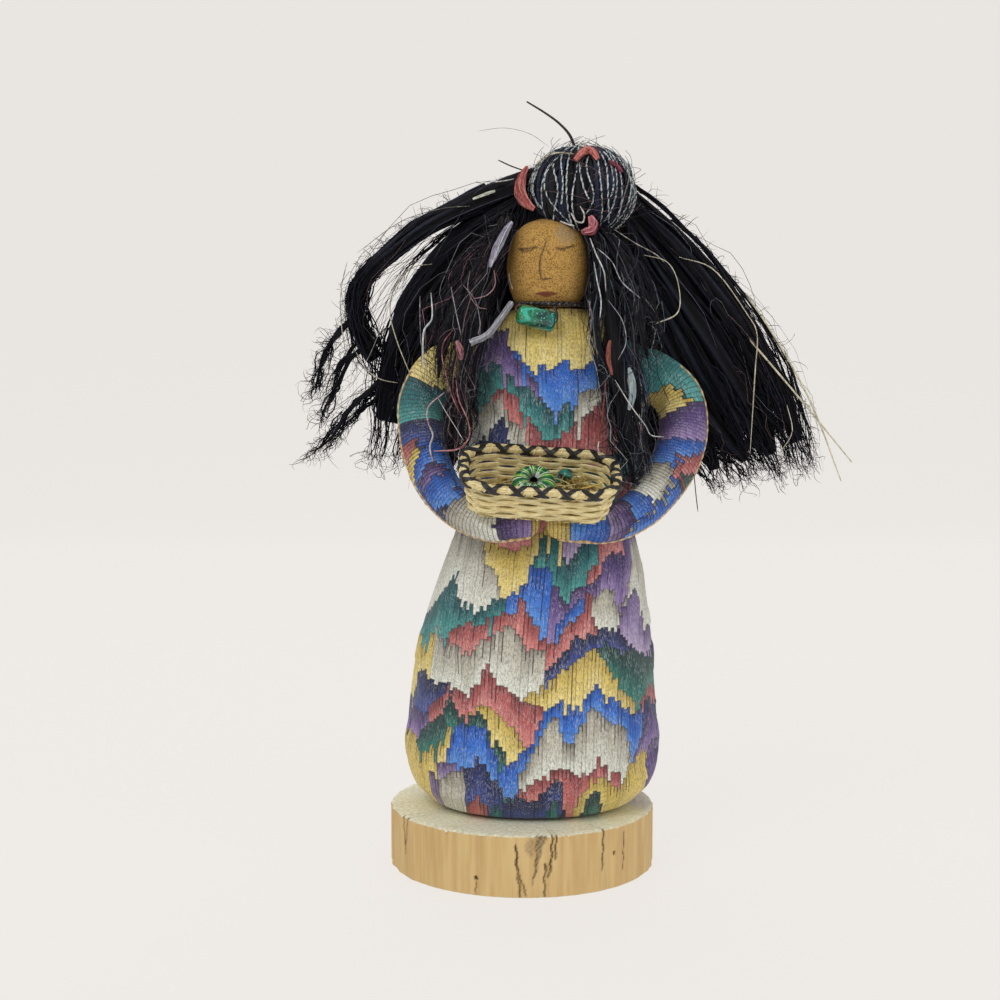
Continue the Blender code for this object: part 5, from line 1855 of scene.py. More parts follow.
@dataclass
class BasketLoad:
    """What lies in the basket: loose straw, the striped bead and the glass nugget."""

    hold: Hold
    straws: int = 330
    stripes: int = 10
    bead_lean_deg: float = 42.0
    bead_radius: float = 0.00775
    bead_half: float = 0.0035
    bead_hole: float = 0.0013
    bead_raise: float = 0.0019

    def straw(self, finish: Material) -> None:
        """Scatters bent straws over the floor, higher towards the right end.

        Args:
            finish: The straw's finish.
        """
        rng = np.random.default_rng(61)
        count, steps = self.straws, 7
        half_x = self.hold.length / 2 - self.hold.flare - 0.0035
        half_y = self.hold.depth / 2 - self.hold.flare - 0.003
        radius = np.sqrt(rng.random(count))
        turn = rng.random(count) * TURN
        x, y = radius * np.cos(turn) * half_x, radius * np.sin(turn) * half_y
        heap = smoothstep(0.1, 0.6, x / half_x)
        x = np.where(rng.random(count) < 0.35, half_x * rng.uniform(0.35, 0.9, count), x)
        rise = 0.0018 + rng.random(count) * (0.0018 + 0.0075 * heap)
        way = rng.random(count) * math.pi
        length = rng.uniform(0.004, 0.012, count)
        t = np.linspace(-0.5, 0.5, steps)
        bend = rng.normal(0, 0.0012, (count, 1)) * (0.25 - t**2) * 4
        along = t * length[:, None]
        lx = x[:, None] + np.cos(way)[:, None] * along - np.sin(way)[:, None] * bend
        ly = y[:, None] + np.sin(way)[:, None] * along + np.cos(way)[:, None] * bend
        lz = rise[:, None] + rng.normal(0, 0.0006, (count, 1)) * t * 2
        limit = 1 / np.maximum(1, np.sqrt((lx / (half_x + 0.002)) ** 2 + (ly / (half_y + 0.002)) ** 2))
        local = np.stack([lx * limit, ly * limit, lz], -1)
        straw = tones("d2b85c", "b3953f", "8f7430", "6b5a2c", "ddca8a")
        dye = straw[rng.integers(0, len(straw), count)][:, None] * (0.8 + 0.3 * rng.random((count, 1, 1)))
        skin = Skin("loose_straw")
        tubes(skin, self.hold.outside(local), rng.uniform(0.00016, 0.0003, (count, 1)), 4, dye)
        finish_piece(skin.piece(finish), "straw", "basket_fill")

    def striped(self, glass: Material) -> None:
        """Turns the bead's outline round its leaning axis, paints rays on it and paints its hole near black
        as painted shade.

        Args:
            glass: The bead's finish.
        """
        middle = middle_and_half("striped_bead")[0] + self.bead_raise * UP
        lean = math.radians(self.bead_lean_deg)
        axis = np.array([0.0, -math.cos(lean), math.sin(lean)])
        across = np.array([1.0, 0.0, 0.0])
        other = np.cross(axis, across)
        t = np.linspace(0, math.pi, 40)
        outside = self.bead_radius * (0.45 + 0.55 * np.sin(t))
        radius = np.concatenate([[self.bead_hole], outside, [self.bead_hole] * 3])
        height = self.bead_half * np.concatenate([[0.72], np.cos(t), [-0.72, 0.0, 0.5]])
        columns = 180
        turn = even_turns(columns)
        spread = about(turn, across, other)
        points = middle + axis * height[:, None, None] + spread * radius[:, None, None]
        out = (radius / self.bead_radius)[:, None]
        wander = 0.04 * np.sin(5 * turn) + 0.05 * np.sin(6 * out)
        ray = np.mod(turn / (TURN) * self.stripes + wander, 1.0)
        paints = tones("0a4a26", "1f8a3c", "b7d15e", "0a4a26", "dce4cc", "177a36")
        edges = (0.0, 0.28, 0.5, 0.64, 0.8, 0.88, 1.0)
        dye = np.zeros((*ray.shape, 3))
        for paint, low, high in zip(paints, edges[:-1], edges[1:]):
            dye[(ray >= low) & (ray < high)] = paint
        # Painted shade: the hole's walls are painted near black, as the shade down the hole.
        dye = np.where((out < 0.2)[..., None], linear("101510"), dye)
        dye[[0, -3, -2, -1]] = linear("060806")
        skin = Skin("striped_bead_glass")
        skin.add(points, [round_faces(len(radius), columns)], dye.reshape(-1, 3))
        finish_piece(skin.piece(glass, 50.0), "striped_glass", "striped_bead")

    def nugget(self, glass: Material) -> None:
        """A small ball with pushed-in sides, whose dents are painted dark teal as painted shade.

        Args:
            glass: The nugget's finish.
        """
        middle, half = middle_and_half("turquoise_bead")
        rise = np.linspace(-math.pi / 2, math.pi / 2, 34)[1:-1, None]
        turn = even_turns(48)
        lump = 1 - 0.09 * np.cos(3 * turn + 2 * rise) - 0.08 * np.sin(5 * rise + 2 * turn)
        ball = globe(rise, turn, lump)
        # Painted shade: the dents are dark teal, the rest the lighter teal.
        dye = np.where((lump < 0.98)[..., None], linear("06302f"), linear("1f6f64"))
        skin = Skin("glass_nugget")
        skin.add(middle + ball * half, shell_faces(32, 48), dye)
        finish_piece(skin.piece(glass), "turquoise_glass", "turquoise_bead")


RIGHT_FALL = {
    "outer": (
        (16, 4, 957, 22), (-34, 16, 939, 24), (-92, 32, 918, 22.4), (-148, 40, 892, 20),
        (-199, 48, 855, 18), (-242, 48, 815, 16.8), (-258, 48, 773, 16), (-250, 48, 727, 17.6),
        (-226, 52, 682, 20.8), (-197, 60, 646, 20),
    ),
    "wisp_high": (
        (-254, 48, 756, 11), (-289, 48, 723, 9.2), (-310, 48, 695, 8), (-319, 48, 660, 6.8),
        (-324, 48, 629, 4),
    ),
    "wisp_middle": (
        (-235, 56, 709, 13), (-266, 52, 689, 10.8), (-286, 48, 653, 8.8), (-301, 48, 623, 7.2),
        (-314, 48, 599, 4),
    ),
    "wisp_low": (
        (-190, 66, 672, 18), (-245, 56, 632, 14), (-273, 48, 603, 11.6), (-296, 44, 567, 8.8),
        (-322, 40, 542, 4.8),
    ),
    "middle": (
        (16, 16, 928, 32), (-50, 40, 885, 40), (-113, 60, 829, 48), (-157, 72, 764, 52),
        (-184, 72, 693, 52), (-199, 72, 622, 44), (-211, 64, 551, 18),
    ),
    "inner": (
        (-4, 24, 884, 32), (-50, 56, 810, 40), (-88, 76, 725, 44), (-111, 84, 631, 44), (-119, 84, 560, 36),
        (-123, 84, 500, 20),
    ),
    "back": (
        (20, 40, 950, 32), (0, 62, 890, 40), (-15, 78, 820, 42), (-30, 104, 734, 44), (-40, 122, 639, 42),
        (-50, 126, 534, 22),
    ),
    "nape": (
        (34, 52, 945, 26), (28, 80, 880, 34), (24, 100, 800, 36), (20, 122, 710, 38), (16, 136, 620, 36),
        (10, 138, 550, 18),
    ),
}
LEFT_FALL = {
    "outer": (
        (162, 20, 929, 22), (240, 24, 858, 27.2), (308, 32, 776, 30.4), (364, 40, 695, 30.4),
        (408, 40, 608, 24.8), (435, 32, 535, 11.2),
    ),
    "second": (
        (158, 28, 912, 28), (217, 40, 827, 36.8), (278, 48, 739, 40.8), (335, 56, 654, 40.8),
        (376, 56, 575, 34.4), (401, 48, 524, 12.8),
    ),
    "third": (
        (150, 36, 894, 32), (195, 48, 794, 38), (247, 60, 701, 44), (296, 68, 619, 44), (338, 72, 556, 36),
        (363, 64, 517, 12.8),
    ),
    "fourth": (
        (139, 40, 882, 32), (176, 60, 779, 39.2), (214, 76, 685, 44), (255, 84, 603, 44),
        (292, 80, 543, 34), (312, 72, 499, 12),
    ),
    "inner": (
        (100, 44, 890, 36), (136, 72, 796, 42), (170, 104, 694, 46), (199, 116, 598, 44),
        (208, 116, 540, 36), (212, 116, 490, 20),
    ),
    "back": (
        (72, 40, 950, 32), (92, 62, 880, 40), (105, 80, 800, 44), (112, 112, 700, 46), (118, 126, 610, 44),
        (122, 128, 534, 22),
    ),
    "nape": (
        (58, 52, 945, 26), (64, 80, 880, 34), (68, 100, 800, 36), (72, 126, 710, 38), (74, 138, 620, 36),
        (78, 140, 550, 18),
    ),
}
STRAWS = (
    (
        (276, 40, 801, 2.6), (317, 24, 755, 2.6), (358, 12, 706, 2.6), (429, 8, 623, 2.4),
        (509, 8, 527, 1.6),
    ),
    (
        (287, 32, 829, 2.6), (345, 16, 782, 2.6), (411, 8, 681, 2.6), (453, 4, 598, 2.4),
        (492, 4, 498, 1.6),
    ),
)
STEM = (
    (84, -8, 985, 4.4), (73, -8, 1019, 3.6), (56, -4, 1040, 3), (34, 0, 1057, 2.6), (6, 0, 1074, 2),
)
RIGHT_FRONT_LOCKS = {
    "inner": (
        (-26, -50, 885, 10), (-50, -60, 829, 18), (-69, -74, 772, 24), (-83, -92, 705, 26),
        (-90, -110, 638, 18), (-89, -117, 577, 7),
    ),
    "outer": (
        (-40, -52, 860, 12), (-80, -58, 803, 22), (-106, -68, 746, 26), (-121, -72, 695, 19),
        (-127, -68, 650, 8),
    ),
    "low": (
        (-88, -98, 640, 20), (-94, -96, 590, 20), (-100, -88, 545, 10),
    ),
}
LEFT_FRONT_LOCKS = {
    "inner": (
        (106, -54, 874, 12), (117, -66, 824, 22), (126, -78, 771, 28), (133, -96, 704, 30),
        (143, -112, 631, 30), (153, -124, 575, 22), (168, -128, 530, 8),
    ),
    "outer": (
        (120, -52, 863, 14), (153, -58, 803, 28), (172, -68, 740, 28), (184, -76, 690, 12),
    ),
    "low": (
        (140, -106, 650, 26), (150, -110, 590, 26), (158, -104, 535, 20), (164, -98, 495, 10),
    ),
}
PARTING_X = 0.046
CROWN_CENTRE = (PARTING_X, 0.022, 0.868)
CROWN_HALF_SIZE = (0.080, 0.062, 0.092)
TOPKNOT_CENTRE = (0.090, -0.012, 0.937)
TOPKNOT_HALF_SIZE = (0.078, 0.066, 0.065)
STIFF_SHARE = 0.62
BLACK_TONES = ("0d0d12", "15151d", "1a1c2a", "101018", "231f22", "12131c")
HEAD_POWER = 2.3
BODY_POWER = 2.15


def crown(ball: Array, side: float, apart: float = 0.0) -> Array:
    """Places points of a ball on the crown of the head, on one side of its parting.

    Args:
        ball: Points about the origin.
        side: 1 for the doll's left half, -1 for its right.
        apart: How far off the parting they stay.

    Returns:
        The points, moved to the parting where they are past it.
    """
    points = scaled(CROWN_CENTRE) + FOOT * UP + ball * scaled(CROWN_HALF_SIZE)
    edge = PARTING_X * FIGURE_HEIGHT + apart * side
    points[..., 0] = np.maximum(points[..., 0], edge) if side > 0 else np.minimum(points[..., 0], edge)
    return points


def read_rows(rows: Array, which: Array, at: Array) -> Array:
    """Reads lines of rows between their rows.

    Args:
        rows: Lines by rows by values.
        which: The line that each reading is of.
        at: Where to read, as row numbers.

    Returns:
        The values, each the mean of its two rows by nearness.
    """
    i = np.minimum(at.astype(int), rows.shape[1] - 2)
    f = (at - i)[..., None]
    return rows[which, i] * (1 - f) + rows[which, i + 1] * f


@dataclass
class YarnMass:
    """A mass of loose yarn that follows its locks: dark cores under ropes of frayed fibres."""

    name: str
    node: str
    slot: str
    locks: dict
    ropes: int
    fibres: int
    strays: int
    seed: int
    crown_side: float = 0.0
    thick_mm: tuple = (0.22, 0.38)
    stray_mm: tuple = (0.07, 0.13)
    rope_mm: float = 0.85
    fray: float = 2.4
    kink_mm: float = 0.7
    curls: int = 1550
    curl_mm: tuple = (0.6, 2.4)
    curl_run_mm: tuple = (1.5, 6.5)
    edge_pull: float = 7.0
    whole_locks: tuple = ("inner", "back")
    tip_strands: int = 0
    deepest_mm: float = 54.0
    face_side: float = 0.0
    wave_mm: float = 0.75
    core_share: float = 0.8
    thin_lock_mm: float = 4.0
    thin_core_share: float = 0.3
    behind_mm: float | None = -8.3
    pale_share: float = 0.03
    pale_stray_share: float = 0.12
    pale_tones: tuple = ("8f939c", "5c6270", "6b5558")
    rings: int = 16
    table: int = 48

    def lock_table(self) -> tuple:
        """Reads every lock at even steps, a little past its end, with its own axes.

        Returns:
            The locks' rows and their two axes.
        """
        rows = []
        for line in self.locks.values():
            line = share_line(line)
            tip = line[-1] + (line[-1] - line[-2]) * 0.55
            tip[3] = line[-1, 3] * 0.9
            root = line[0] + (0.0, 0.008, 0.003, -0.5 * line[0, 3])
            if self.behind_mm is not None:
                root = line[0] + (line[0] - line[1]) * 0.4
                root[3] = line[0, 3] * 0.7
            rows.append(smooth_rows(np.concatenate([root[None], line, tip[None]]), self.table))
        rows = np.array(rows)
        side, other = carried_axes(rows[:, :, :3])
        return rows, side, other

    def clear(self, points: Array) -> Array:
        """Keeps strands out of the head and the body, and behind the face.

        Args:
            points: The strands' points.

        Returns:
            The points, moved where they have to be.
        """
        points = pushed_out(points, BODY_RINGS, BODY_POWER, 0.0006)
        points = pushed_out(points, HEAD_RINGS, HEAD_POWER, 0.0006)
        deep = points[..., 1] - self.deepest_mm * MM
        points = points - BACK * (np.maximum(deep, 0) * 0.85)[..., None]
        if self.behind_mm is not None:
            points[..., 1] = np.maximum(points[..., 1], self.behind_mm * MM)
        if self.face_side:
            x, z = points[..., 0], points[..., 2]
            middle, half = (np.interp(z, HEAD_RINGS[:, 0], HEAD_RINGS[:, i]) for i in (1, 3))
            limit = middle + self.face_side * half * 0.97
            kept = np.maximum(x, limit) if self.face_side > 0 else np.minimum(x, limit)
            points[..., 0] = np.where(z > HEAD_RINGS[0, 0] - 0.003, kept, x)
        return points

    def strand_lines(self, count: int, stray: bool, rng: Generator, late: float = 0.0) -> Array:
        """Carries strands along the locks.

        A point is the lock's centre plus a share of its radius in a slowly turning direction,
        plus slow sine waves that grow from the root.

        Args:
            count: How many.
            stray: Whether they are thin and leave the lock towards their tips.
            rng: Seeded numbers.
            late: How far along the lock they start.

        Returns:
            Strands by rings by three.
        """
        rows, side, other = self.lock_table()
        lengths = np.linalg.norm(np.diff(rows[:, :, :3], axis=1), axis=-1).sum(1)
        weight = (rows[:, :, 3].mean(1) * lengths) ** 0.75
        lock = rng.choice(len(rows), count, p=weight / weight.sum())
        start = late + rng.random(count) ** 2 * (0.55 if stray else 0.3) * (1 - late)
        end = np.clip(start + rng.uniform(0.45, 1.05, count), 0, rng.uniform(0.78, 1.0, count))
        t = start[:, None] + (end - start)[:, None] * np.linspace(0, 1, self.rings)
        row, a, b = (read_rows(part, lock[:, None], t * (self.table - 1)) for part in (rows, side, other))
        mean = rows[lock, :, 3].mean(-1)[:, None]
        radius = row[..., 3] + (mean - row[..., 3]) * 0.55 * smoothstep(0.55, 1.0, t)
        out = np.sqrt(rng.uniform(0.5, 1.25, (count, 1)))
        if stray:
            out = out * (1 + rng.exponential(0.6, (count, 1)) * smoothstep(0.15, 1.0, t))
        turn = rng.random((count, 1)) * TURN + rng.normal(0, 1.1, (count, 1)) * t
        offset = about(turn, a, b) * (radius * out)[..., None]
        s = np.linspace(0, 1, self.rings)
        wander = np.zeros_like(offset)
        for pace, size in ((1.3, 1.0), (3.1, 0.6), (4.7, 0.35)):
            phase = rng.random((count, 1, 3)) * TURN
            swing = rng.normal(0, size * self.wave_mm * MM, (count, 1, 3))
            wave = np.sin(pace * TURN * s[:, None] + phase) - np.sin(phase) * (1 - s[:, None])
            wander += swing * wave
        return self.clear(row[..., :3] + offset + wander * (2.6 if stray else 1.0))

    def frayed(self, ropes: Array, rng: Generator) -> Array:
        """Splits each rope of yarn into fibres that wind round it and come apart at its tip.

        A point is the rope's centre, read up to the fibre's length, plus a radius that widens
        towards the tip in a winding direction, plus seeded kinks.

        Args:
            ropes: The ropes' centres.
            rng: Seeded numbers.

        Returns:
            Fibres by rings by three.
        """
        side, other = (np.repeat(axis, self.fibres, axis=0) for axis in carried_axes(ropes))
        lines = np.repeat(ropes, self.fibres, axis=0)
        count, s = len(lines), np.linspace(0, 1, self.rings)
        wind = rng.random((count, 1)) * TURN
        wind = wind + np.repeat(rng.uniform(3, 9, (len(ropes), 1)), self.fibres, axis=0) * s
        spread = np.sqrt(rng.random((count, 1))) * self.rope_mm * MM * (0.8 + self.fray * s**3)
        kinks = rng.normal(0, self.kink_mm * MM, lines.shape) * (0.14 + 0.5 * s**3)[:, None]
        at = rng.uniform(0.78, 1.0, (count, 1)) * s * (self.rings - 1)
        lines = read_rows(lines, np.arange(count)[:, None], at)
        return self.clear(lines + about(wind, side, other) * spread[..., None] + kinks)

    def crown_lines(self, count: int, rng: Generator) -> Array:
        """Combs strands down from the parting over the top and back of the head.

        Args:
            count: How many.
            rng: Seeded numbers.

        Returns:
            Strands by rings by three.
        """
        turn = rng.uniform(-0.5, 0.5, (count, 1)) * math.pi * 1.04 + (0.0 if self.crown_side > 0 else math.pi)
        fall = np.linspace(0.02, 1.0, self.rings)
        lat = math.pi / 2 - fall * rng.uniform(1.3, 2.2, (count, 1))
        swirl = turn + 0.25 * rng.normal(0, 1, (count, 1)) * fall
        size = rng.uniform(0.99, 1.06, (count, 1, 1))
        points = crown(globe(lat, swirl) * size, self.crown_side, 0.0003)
        points[..., 1] += rng.normal(0, 0.0025, (count, 1)) * (1 - fall)
        return self.clear(points)

    def frizz(self, lines: Array, rng: Generator) -> Array:
        """Curls short fibres off the mass, most of them at its outer edges.

        Each runs from a strand's point along a random way that leans outwards, plus a sine and
        one less a cosine along two other random ways.

        Args:
            lines: The strands that they start from.
            rng: Seeded numbers.

        Returns:
            Curls by points by three.
        """
        count, s, parts = self.curls, np.linspace(0, 1, 6), 72
        centre = scaled(CROWN_CENTRE) + FOOT * UP
        points = lines[:, 2:].reshape(-1, 3)
        away = points[:, [0, 2]] - centre[[0, 2]]
        reach = np.linalg.norm(away, axis=1)
        part = ((np.arctan2(away[:, 1], away[:, 0]) / (TURN) + 0.5) * parts).astype(int) % parts
        far = np.zeros(parts)
        np.maximum.at(far, part, reach)
        weight = (reach / far[part]) ** self.edge_pull
        root = points[rng.choice(len(points), count, p=weight / weight.sum())][:, None]
        ways = unit(rng.normal(0, 1, (3, count, 1, 3)))
        ways[0] = unit(ways[0] + unit(root - centre) * (0.9, 0.3, 0.9))
        turn = (rng.uniform(2.0, 5.5, (count, 1)) * s)[..., None]
        run, size = (rng.uniform(*span, (count, 1, 1)) * MM for span in (self.curl_run_mm, self.curl_mm))
        curl = ways[1] * np.sin(turn) + ways[2] * (1 - np.cos(turn))
        return self.clear(root + ways[0] * run * s[:, None] + curl * size)

    def cores(self, skin: Skin) -> None:
        """Adds the dark bodies under the strands, combed into ridges, thin in the wisps.

        A point is the lock's centre plus a share of its radius, swollen by a sum of cosines of its turn that
        drift along the lock, and painted lighter where it swells, as painted sheen on the ridges.

        Args:
            skin: The mesh.
        """
        rows, side, other = self.lock_table()
        rng = np.random.default_rng(self.seed + 100)
        black, sheen = linear("050507"), linear("2a2d3b")
        for number, name in enumerate(self.locks):
            whole, front = name in self.whole_locks, self.behind_mm is None
            last = self.table - 9
            row = rows[number, :last]
            thin = row[:, 3].mean() < self.thin_lock_mm * MM
            columns = 20 if thin or front else 40
            share = self.thin_core_share if thin else 0.86 if whole else self.core_share
            s, turn = np.linspace(0, 1, last)[:, None], even_turns(columns)
            beats = rng.integers(7, 19, 6)
            streak = sum(np.cos(k * turn + rng.random() * 6 + rng.normal(0, 5.0) * s) for k in beats) / 1.7
            ragged = s * (1 + 0.13 * rng.normal(0, 1, columns))
            taper = np.interp(ragged, [0, 0.1, 0.72, 1], [0.3 if front else 0.75, 1, 0.9, 0.12])
            radius = row[:, 3:] * share * taper * (1 + 0.07 * streak)
            spread = about(turn, side[number, :last, None], other[number, :last, None])
            points = self.clear(row[:, None, :3] + spread * radius[..., None])
            # Painted sheen: the combed ridges are painted blue-grey over the black, standing in for the
            # yarn's highlights.
            dye = black + (sheen - black) * smoothstep(0.2, 1.6, streak)[..., None]
            skin.add(points, shell_faces(last, columns), dye)
        if self.crown_side:
            rise = np.linspace(-math.pi / 2, math.pi / 2, 22)[1:-1, None]
            points = crown(globe(rise, even_turns(36)) * 0.97, self.crown_side)
            points[..., 1] = np.maximum(points[..., 1], self.behind_mm * MM)
            skin.add(points, shell_faces(20, 36), linear("08080b"))

    def dyes(self, count: int, share: float, rng: Generator) -> Array:
        """Picks each strand's colour, mostly a black, now and then a pale one.

        Args:
            count: How many strands.
            share: The pale ones' share.
            rng: Seeded numbers.

        Returns:
            One colour for each strand.
        """
        blacks, pale = tones(*BLACK_TONES), tones(*self.pale_tones)
        picked = blacks[rng.integers(0, len(blacks), count)] * rng.uniform(0.6, 1.5, (count, 1))
        light = rng.random(count) < share
        lit = light.sum()
        picked[light] = pale[rng.integers(0, len(pale), lit)] * rng.uniform(0.5, 1.1, (lit, 1))
        return picked[:, None]

    def build(self, yarn: Material) -> None:
        """Makes the mass as one piece.

        Args:
            yarn: Its finish.
        """
        rng = np.random.default_rng(self.seed)
        skin = Skin(self.name)
        self.cores(skin)
        fibres = self.frayed(self.strand_lines(self.ropes, False, rng), rng)
        fibres = np.concatenate([fibres, self.strand_lines(self.tip_strands, False, rng, 0.5)])
        groups = [(fibres, self.thick_mm, self.pale_share),
                  (self.strand_lines(self.strays, True, rng), self.stray_mm, self.pale_stray_share),
                  (self.frizz(fibres, rng), self.stray_mm, self.pale_share)]
        if self.crown_side:
            groups.append((self.crown_lines(self.ropes * 2, rng), self.thick_mm, self.pale_share))
        for lines, (thin, thick), share in groups:
            s = np.linspace(0, 1, lines.shape[1])
            profile = np.interp(s, [0, 0.15, 0.7, 1], [0.5, 1, 0.85, 0.25])
            size = rng.uniform(thin, thick, (len(lines), 1)) * MM * profile
            tubes(skin, lines, size, 3, self.dyes(len(lines), share, rng))
        finish_piece(skin.piece(yarn, 180.0), self.slot, self.node)


@dataclass
class Topknot:
    """The bun: thick yarns from pole to pole, with pale twisted cords over them."""

    yarns: int = 150
    cords: int = 44
    fuzz: int = 460
    seed: int = 71
    yarn_radius: float = 0.00072
    ply_radius: float = 0.00021
    ply_offset: float = 0.00015
    ply_pitch: float = 0.0030
    fuzz_radius: float = 0.00009

    def at(self, lat: Array, turn: Array, size: Array) -> Array:
        """Places latitudes and turns on the bun, a squared ellipsoid, at a share of its size."""
        ball = globe(lat, turn, squareness=0.8) * scaled(TOPKNOT_HALF_SIZE)
        return scaled(TOPKNOT_CENTRE) + FOOT * UP + ball * np.asarray(size)[..., None]

    def build(self, yarn: Material) -> None:
        """Makes the bun as one piece.

        Args:
            yarn: The finish of its strands.
        """
        rng = np.random.default_rng(self.seed)
        skin = Skin("yarn_topknot")
        lat = np.linspace(-math.pi / 2, math.pi / 2, 26)[1:-1, None]
        turn = even_turns(40)
        skin.add(self.at(lat + 0 * turn, turn + 0 * lat, np.full((24, 40), 0.9)),
                 shell_faces(24, 40), linear("07080c"))
        steps = 20
        lat = np.linspace(1.52, -1.5, steps)
        turn = (even_turns(self.yarns) + rng.normal(0, 0.03, self.yarns))[:, None]
        sway = 0.09 * rng.normal(0, 1, (self.yarns, 1)) * np.sin(lat * 1.4 + rng.random((self.yarns, 1)) * 6)
        size = 0.93 + 0.07 * rng.random((self.yarns, 1)) + 0 * lat
        blacks = tones("0e1220", "131a30", "0d0f16", "1b2440", "0a0b10")
        dye = blacks[rng.integers(0, len(blacks), self.yarns)][:, None]
        tubes(skin, self.at(lat + 0 * turn, turn + sway, size), self.yarn_radius, 4, dye)
        self.pale(skin, rng)
        count = self.fuzz
        lat = np.linspace(0, 1, 8) * rng.uniform(0.15, 0.6, (count, 1)) + rng.uniform(-1.2, 1.3, (count, 1))
        turn = rng.random((count, 1)) * TURN
        turn = turn + rng.normal(0, 0.5, (count, 1)) * np.linspace(0, 1, 8) ** 2
        size = 0.98 + rng.exponential(0.1, (count, 1)) * np.linspace(0.2, 1, 8)
        dye = tones("15151b", "6b5558")[(rng.random(count) < 0.25).astype(int)][:, None]
        tubes(skin, self.at(lat, turn, size), self.fuzz_radius, 3, dye)
        stem = smooth_rows(share_line(STEM), 24)
        tubes(skin, stem[None, :, :3], stem[None, :, 3] * STIFF_SHARE, 8, linear("2b2620"))
        finish_piece(skin.piece(yarn, 75.0), "variegated_yarn", "topknot")

    def pale(self, skin: Skin, rng: Generator) -> None:
        """Lays cords of two plies, white and grey, from the crown of the bun downwards.

        Args:
            skin: The mesh.
            rng: Seeded numbers.
        """
        steps = 48
        s = np.linspace(0, 1, steps)
        for number in range(self.cords):
            turn = -math.pi / 2 + math.pi * (2 * (number + 0.5) / self.cords - 1) + rng.normal(0, 0.08)
            top, foot = 1.5 - 0.9 * rng.random() ** 3, -0.2 - 1.1 * rng.random()
            lat = top + (foot - top) * s
            sway = rng.normal(0, 0.07) * np.sin(TURN * s * rng.uniform(0.6, 1.6) + rng.random() * 6)
            sway = sway + rng.normal(0, 0.18) * s**5
            size = 1.03 + 0.02 * np.sin(9 * s + number)
            centre = self.at(lat, turn + sway, size)
            side, other = (axis[0] for axis in carried_axes(centre[None]))
            length = np.linalg.norm(np.diff(centre, axis=0), axis=1).sum()
            for ply, codes in enumerate((("dde4e4", "6f8792"), ("56636e", "c4ccce"))):
                wind = TURN * s * length / self.ply_pitch + ply * math.pi
                offset = about(wind, side, other) * self.ply_offset
                swap = rng.random((steps, 1)) < (0.1 if ply == 0 else 0.35)
                dye = np.where(swap, linear(codes[1]), linear(codes[0]))
                tubes(skin, (centre + offset)[None], self.ply_radius, 4, dye[None])


@dataclass(frozen=True)
class Thread:
    """One loose thread, by its turning points in the camera's picture, in thousandths of its side."""

    points: tuple
    radius_mm: float
    codes: tuple
    slub: float = 0.0
    depth_mm: float = 0.0


LAVENDER, PINK, RED_BROWN = ("a7a3b4", "c9c9d3"), ("b06a6e", "d79a98"), ("7d4038", "a05a4c")
WHITE, AQUA, GREY = ("e6e4e0", "c4c6c8"), ("b9d0cf", "e2e6e2"), ("9a9ba2", "b9bac0")
CREAM, DARK = ("cfc8ae", "e4dfc8"), ("1d1a1b", "37302d")
FACE_SIDE_THREADS = (
    Thread(((512, 222), (506, 230), (500, 242), (494, 255), (490, 267)), 1.9, LAVENDER, 1.0),
    Thread(((457, 341), (460, 350), (461, 360)), 1.5, ("8d5a60", "b07a80"), 1.0),
    Thread(((511, 303), (502, 316), (487, 335), (470, 343)), 1.35, GREY, 0.1),
    Thread(((432, 264), (412, 268), (395, 287), (390, 312), (397, 341), (410, 374)), 0.32, CREAM),
    Thread(((431, 293), (432, 318), (424, 331), (423, 356), (426, 368)), 0.45, AQUA),
    Thread(((494, 270), (495, 285), (487, 295), (474, 299)), 0.3, ("b98f92", "d8b4b2")),
    Thread(((456, 380), (459, 400), (468, 421), (469, 437), (458, 449), (434, 451)), 0.4, PINK),
    Thread((
        (445, 392), (429, 406), (428, 421), (433, 435), (430, 447), (433, 462)), 0.42, ("e2d6d4", "d8a8a8")),
    Thread((
        (453, 330), (444, 342), (442, 356), (446, 375), (452, 396), (462, 418)), 0.36, ("8a5458", "b98488")),
    Thread(((438, 398), (446, 412), (456, 428), (463, 440)), 0.22, WHITE),
    Thread(((451, 287), (456, 312), (461, 335)), 0.28, GREY),
    Thread(((420, 296), (420, 320), (421, 345)), 0.32, ("7c7480", "b5b0b8")),
    Thread(((463, 285), (475, 300), (480, 322), (478, 335)), 0.2, GREY),
    Thread(((470, 270), (468, 290), (477, 306), (487, 309)), 0.2, ("8a6a6c", "a98a88")),
)
OTHER_SIDE_THREADS = (
    Thread(((610, 341), (608, 352), (609, 363), (612, 375)), 1.0, RED_BROWN, 0.8),
    Thread(((629, 368), (632, 382), (632, 397), (629, 410)), 1.6, ("9fb4b6", "c2cfcf"), 1.0),
    Thread(((606, 380), (604, 400), (602, 421), (599, 441)), 0.42, RED_BROWN),
    Thread(((599, 441), (598, 448), (600, 455)), 0.35, WHITE),
    Thread(((615, 380), (631, 406), (645, 425), (651, 435), (664, 437)), 0.3, WHITE),
    Thread(((590, 238), (596, 254), (604, 272), (606, 292)), 0.4, WHITE),
    Thread(((597, 248), (612, 262), (622, 282), (640, 298)), 0.3, ("c4c6c8", "8a8d94")),
    Thread(((594, 262), (597, 280), (601, 300), (600, 318)), 0.4, ("d2d6d8", "9fb0b8")),
    Thread(((615, 230), (635, 243), (655, 254), (664, 262)), 0.3, ("c4bfb4", "8a8680")),
    Thread(((644, 255), (667, 262), (678, 283), (678, 312), (655, 324)), 0.3, CREAM),
    Thread(((608, 300), (622, 320), (626, 342), (618, 360)), 0.24, GREY),
    Thread(((588, 300), (592, 316), (590, 334), (596, 350)), 0.26, ("a08a92", "c0b0b4")),
)
